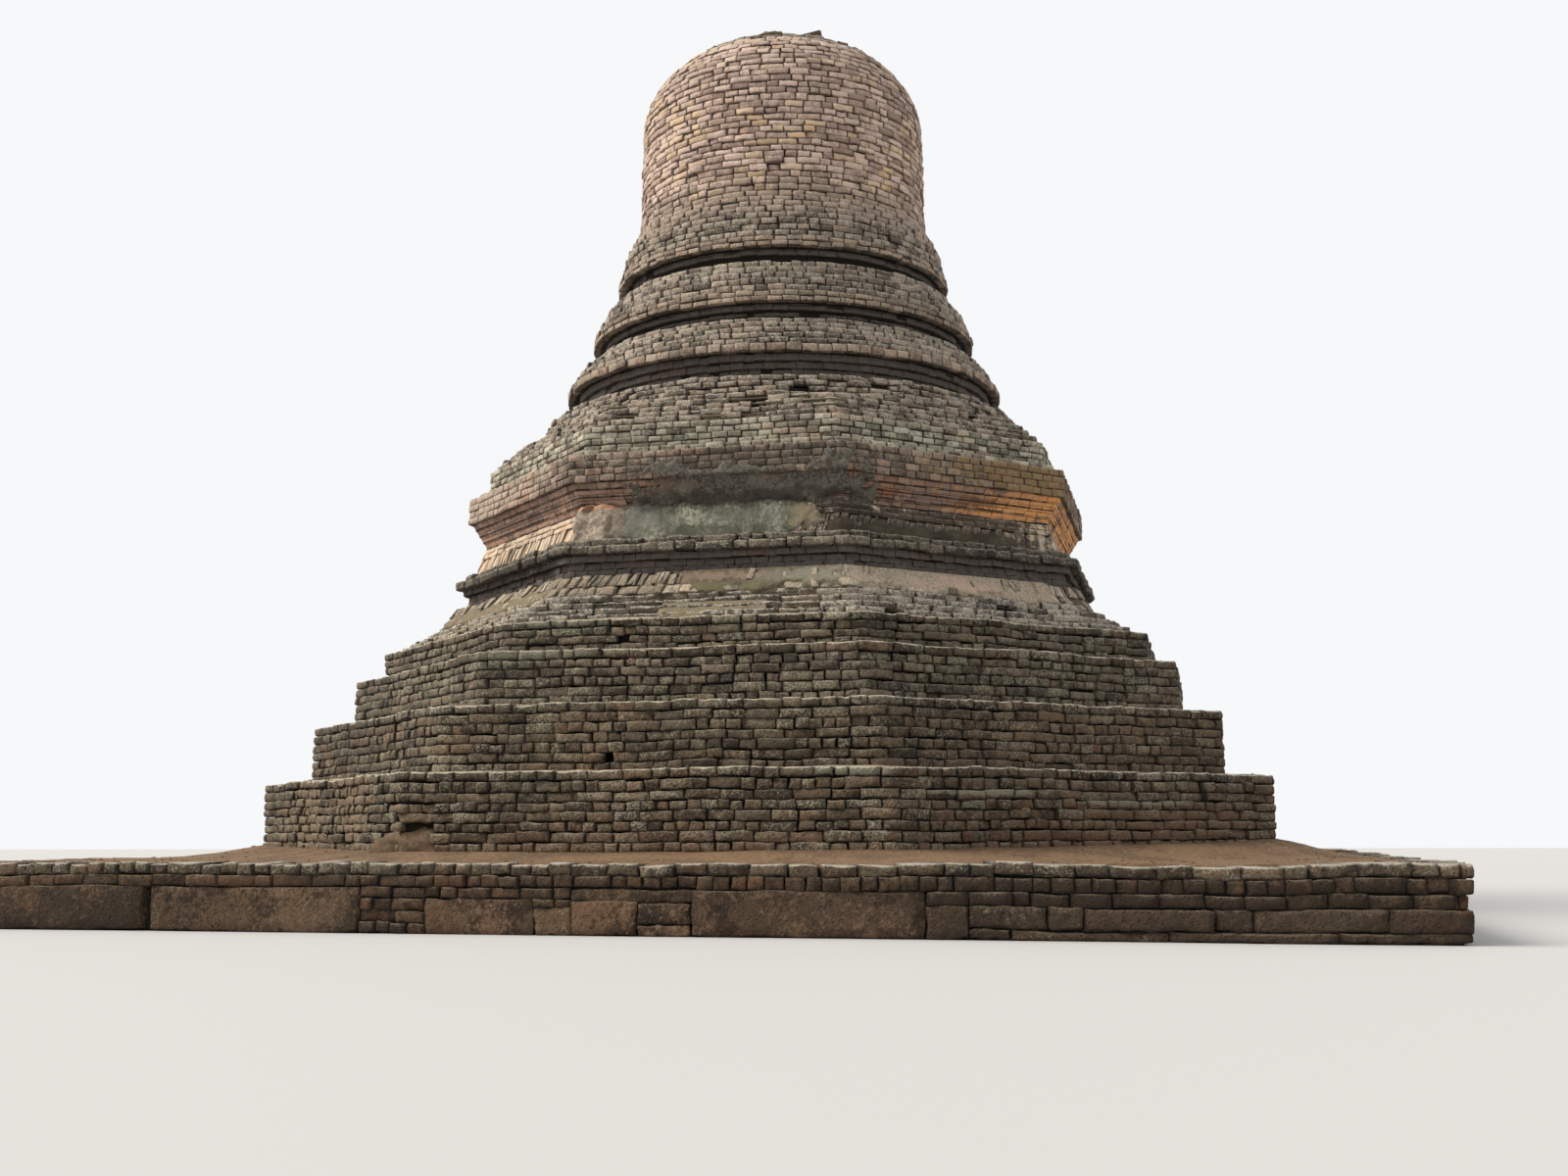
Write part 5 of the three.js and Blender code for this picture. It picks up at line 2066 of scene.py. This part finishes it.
@dataclass
class OldPlaster:
    """Plaster that is left on the neck and the lotus band, and the crust above it."""

    def build(self) -> None:
        """Builds each sheet over its wall."""
        self._neck()
        self._lotus()

    def _neck(self) -> None:
        """The panel and the corner on the neck, the soil beside them and the crust over them."""
        foot, top = span("neck")
        corbels = apothem_of("cornice_corbels")
        slope = (foot, apothem_of("neck")), (top, corbels - NECK_HEAD)
        Sheet(
            "panel_plaster", PLASTER, left=-1.98, right=2.3, foot=foot - 0.04, top=top + 0.18,
            profile=slope, swell=0.05, ragged=0.08, replaced=("neck_plaster_panel",),
        ).build()
        Sheet(
            "corner_plaster", TAN_PLASTER, left=-2.9, right=-1.7, foot=foot - 0.08, top=top + 0.16,
            profile=slope, swell=0.18, ragged=0.1, lumps=0.11, edge=0.07, square=3.4,
            replaced=("neck_plaster_corner",),
        ).build()
        Sheet(
            "neck_soil", DARK_SOIL, left=2.35, right=7.5, foot=foot - 0.05, top=foot + 0.24,
            profile=slope, swell=0.06, ragged=0.13, lumps=0.06, edge=0.07,
        ).build()
        head = span("cornice_corbels")[1]
        Sheet(
            "corbel_crust", CRUST, left=-1.3, right=3.2, foot=top - 0.06, top=8.85,
            profile=(slope[1], (head, corbels), (head + 0.01, apothem_of("cornice_face"))), swell=0.035,
            ragged=0.3, lumps=0.05,
        ).build()

    def _lotus(self) -> None:
        """The two patches on the lotus band."""
        foot, top = span("lower_lotus_band")
        band = (foot, apothem_of("lower_lotus_band")), (top, apothem_of("recess_wall") + LOTUS_HEAD)
        patches = (("front", BAND_PLASTER, -0.7, 3.0), ("right", RIGHT_BAND_PLASTER, 3.05, 8.1))
        for side, finish, left, right in patches:
            Sheet(
                f"{side}_band_plaster", finish, left=left, right=right, foot=foot + 0.03, top=top + 0.02,
                profile=band, ragged=0.2, lumps=0.03, level_top=True,
                replaced=(f"lotus_plaster_{side}",),
            ).build()


@dataclass
class Studio:
    """Camera, floor and light."""

    distance: float = 40.0
    turn: float = math.radians(13.67)
    eye: float = 1.56
    pitch: float = math.radians(8.16)
    roll: float = math.radians(-0.17)
    focal: float = 1755.0
    picture_width: float = 1600.0
    sensor: float = 36.0
    sight: float = 500.0
    floor_half: float = 150.0
    floor_colour: Triple = (0.42, 0.413, 0.4)
    sky_colour: Triple = (0.97, 0.985, 1.0)
    sky_strength: float = 0.95
    lamp_strength: float = 4.15
    lamp_colour: Triple = (1.0, 0.945, 0.875)
    lamp_spread: float = math.radians(42)
    lamp_rise: float = math.radians(42)
    lamp_turn: float = math.radians(-76)

    def build(self) -> None:
        """Places the camera, the floor and the lights."""
        self._camera()
        self._floor()
        self._light()
        bpy.context.scene.view_settings.view_transform = "Standard"

    def _camera(self) -> None:
        """The camera, where the photographer stood."""
        data = bpy.data.cameras.new("camera")
        data.sensor_width = self.sensor
        data.lens = self.sensor * self.focal / self.picture_width
        data.clip_end = self.sight
        camera = linked("camera", data)
        stand = Matrix.Rotation(self.turn, 4, "Z") @ Matrix.Translation((0, -self.distance, self.eye))
        tilt = Matrix.Rotation(math.pi / 2 + self.pitch, 4, "X")
        camera.matrix_world = stand @ tilt @ Matrix.Rotation(self.roll, 4, "Z")
        bpy.context.scene.camera = camera

    def _floor(self) -> None:
        """A plain pale floor."""
        mesh = bpy.data.meshes.new("floor")
        half = self.floor_half
        corners = [(-half, -half, 0), (half, -half, 0), (half, half, 0), (-half, half, 0)]
        mesh.from_pydata(corners, [], [(0, 1, 2, 3)])
        material = bpy.data.materials.new("pale_floor")
        material.use_nodes = True
        graph = Graph(material.node_tree)
        paint = {"Base Color": self.floor_colour, "Roughness": 0.9}
        shader = graph.add("ShaderNodeBsdfPrincipled", {}, paint)
        graph.add("ShaderNodeOutputMaterial", {}, {"Surface": shader})
        mesh.materials.append(material)
        linked("floor", mesh)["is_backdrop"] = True

    def _light(self) -> None:
        """A soft white sky and one broad lamp high on the left."""
        world = bpy.data.worlds.new("sky")
        world.use_nodes = True
        graph = Graph(world.node_tree)
        glow = {"Color": self.sky_colour, "Strength": self.sky_strength}
        sky = graph.add("ShaderNodeBackground", {}, glow)
        graph.add("ShaderNodeOutputWorld", {}, {"Surface": sky})
        bpy.context.scene.world = world
        data = bpy.data.lights.new("lamp", "SUN")
        data.energy = self.lamp_strength
        data.color = self.lamp_colour
        data.angle = self.lamp_spread
        lamp = linked("lamp", data)
        turn = Matrix.Rotation(self.lamp_turn, 4, "Z")
        lamp.matrix_world = turn @ Matrix.Rotation(math.pi / 2 - self.lamp_rise, 4, "X")


def remove_templates() -> None:
    """Deletes the unit block and the unit stone once every piece is made."""
    for thing in [o for o in bpy.data.objects if "_template" in o.name]:
        bpy.data.objects.remove(thing)


def write_sizes() -> None:
    """Gathers the solids' box and the finished model's box as plain lists of numbers."""
    boxes = {"cad": CAD_BOX, "visual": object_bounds()}
    plain = {name: [[float(v) for v in corner] for corner in box] for name, box in boxes.items()}


def main() -> None:
    """Builds the whole scene in order."""
    logging.basicConfig(level=logging.INFO, format="%(message)s")
    Studio().build()
    Platform().build()
    Terraces().build()
    Body().build()
    RecedingCourses().build()
    Ring("lower", 61, undercut_courses=4, lip_courses=1, slope_courses=5).build()
    Ring("middle", 64, undercut_courses=3, lip_courses=2, slope_courses=5).build()
    Ring("upper", 67, undercut_courses=3, lip_courses=2, slope_courses=7).build()
    Bell().build()
    OldPlaster().build()
    remove_templates()
    write_sizes()


if __name__ == "__main__":
    main()
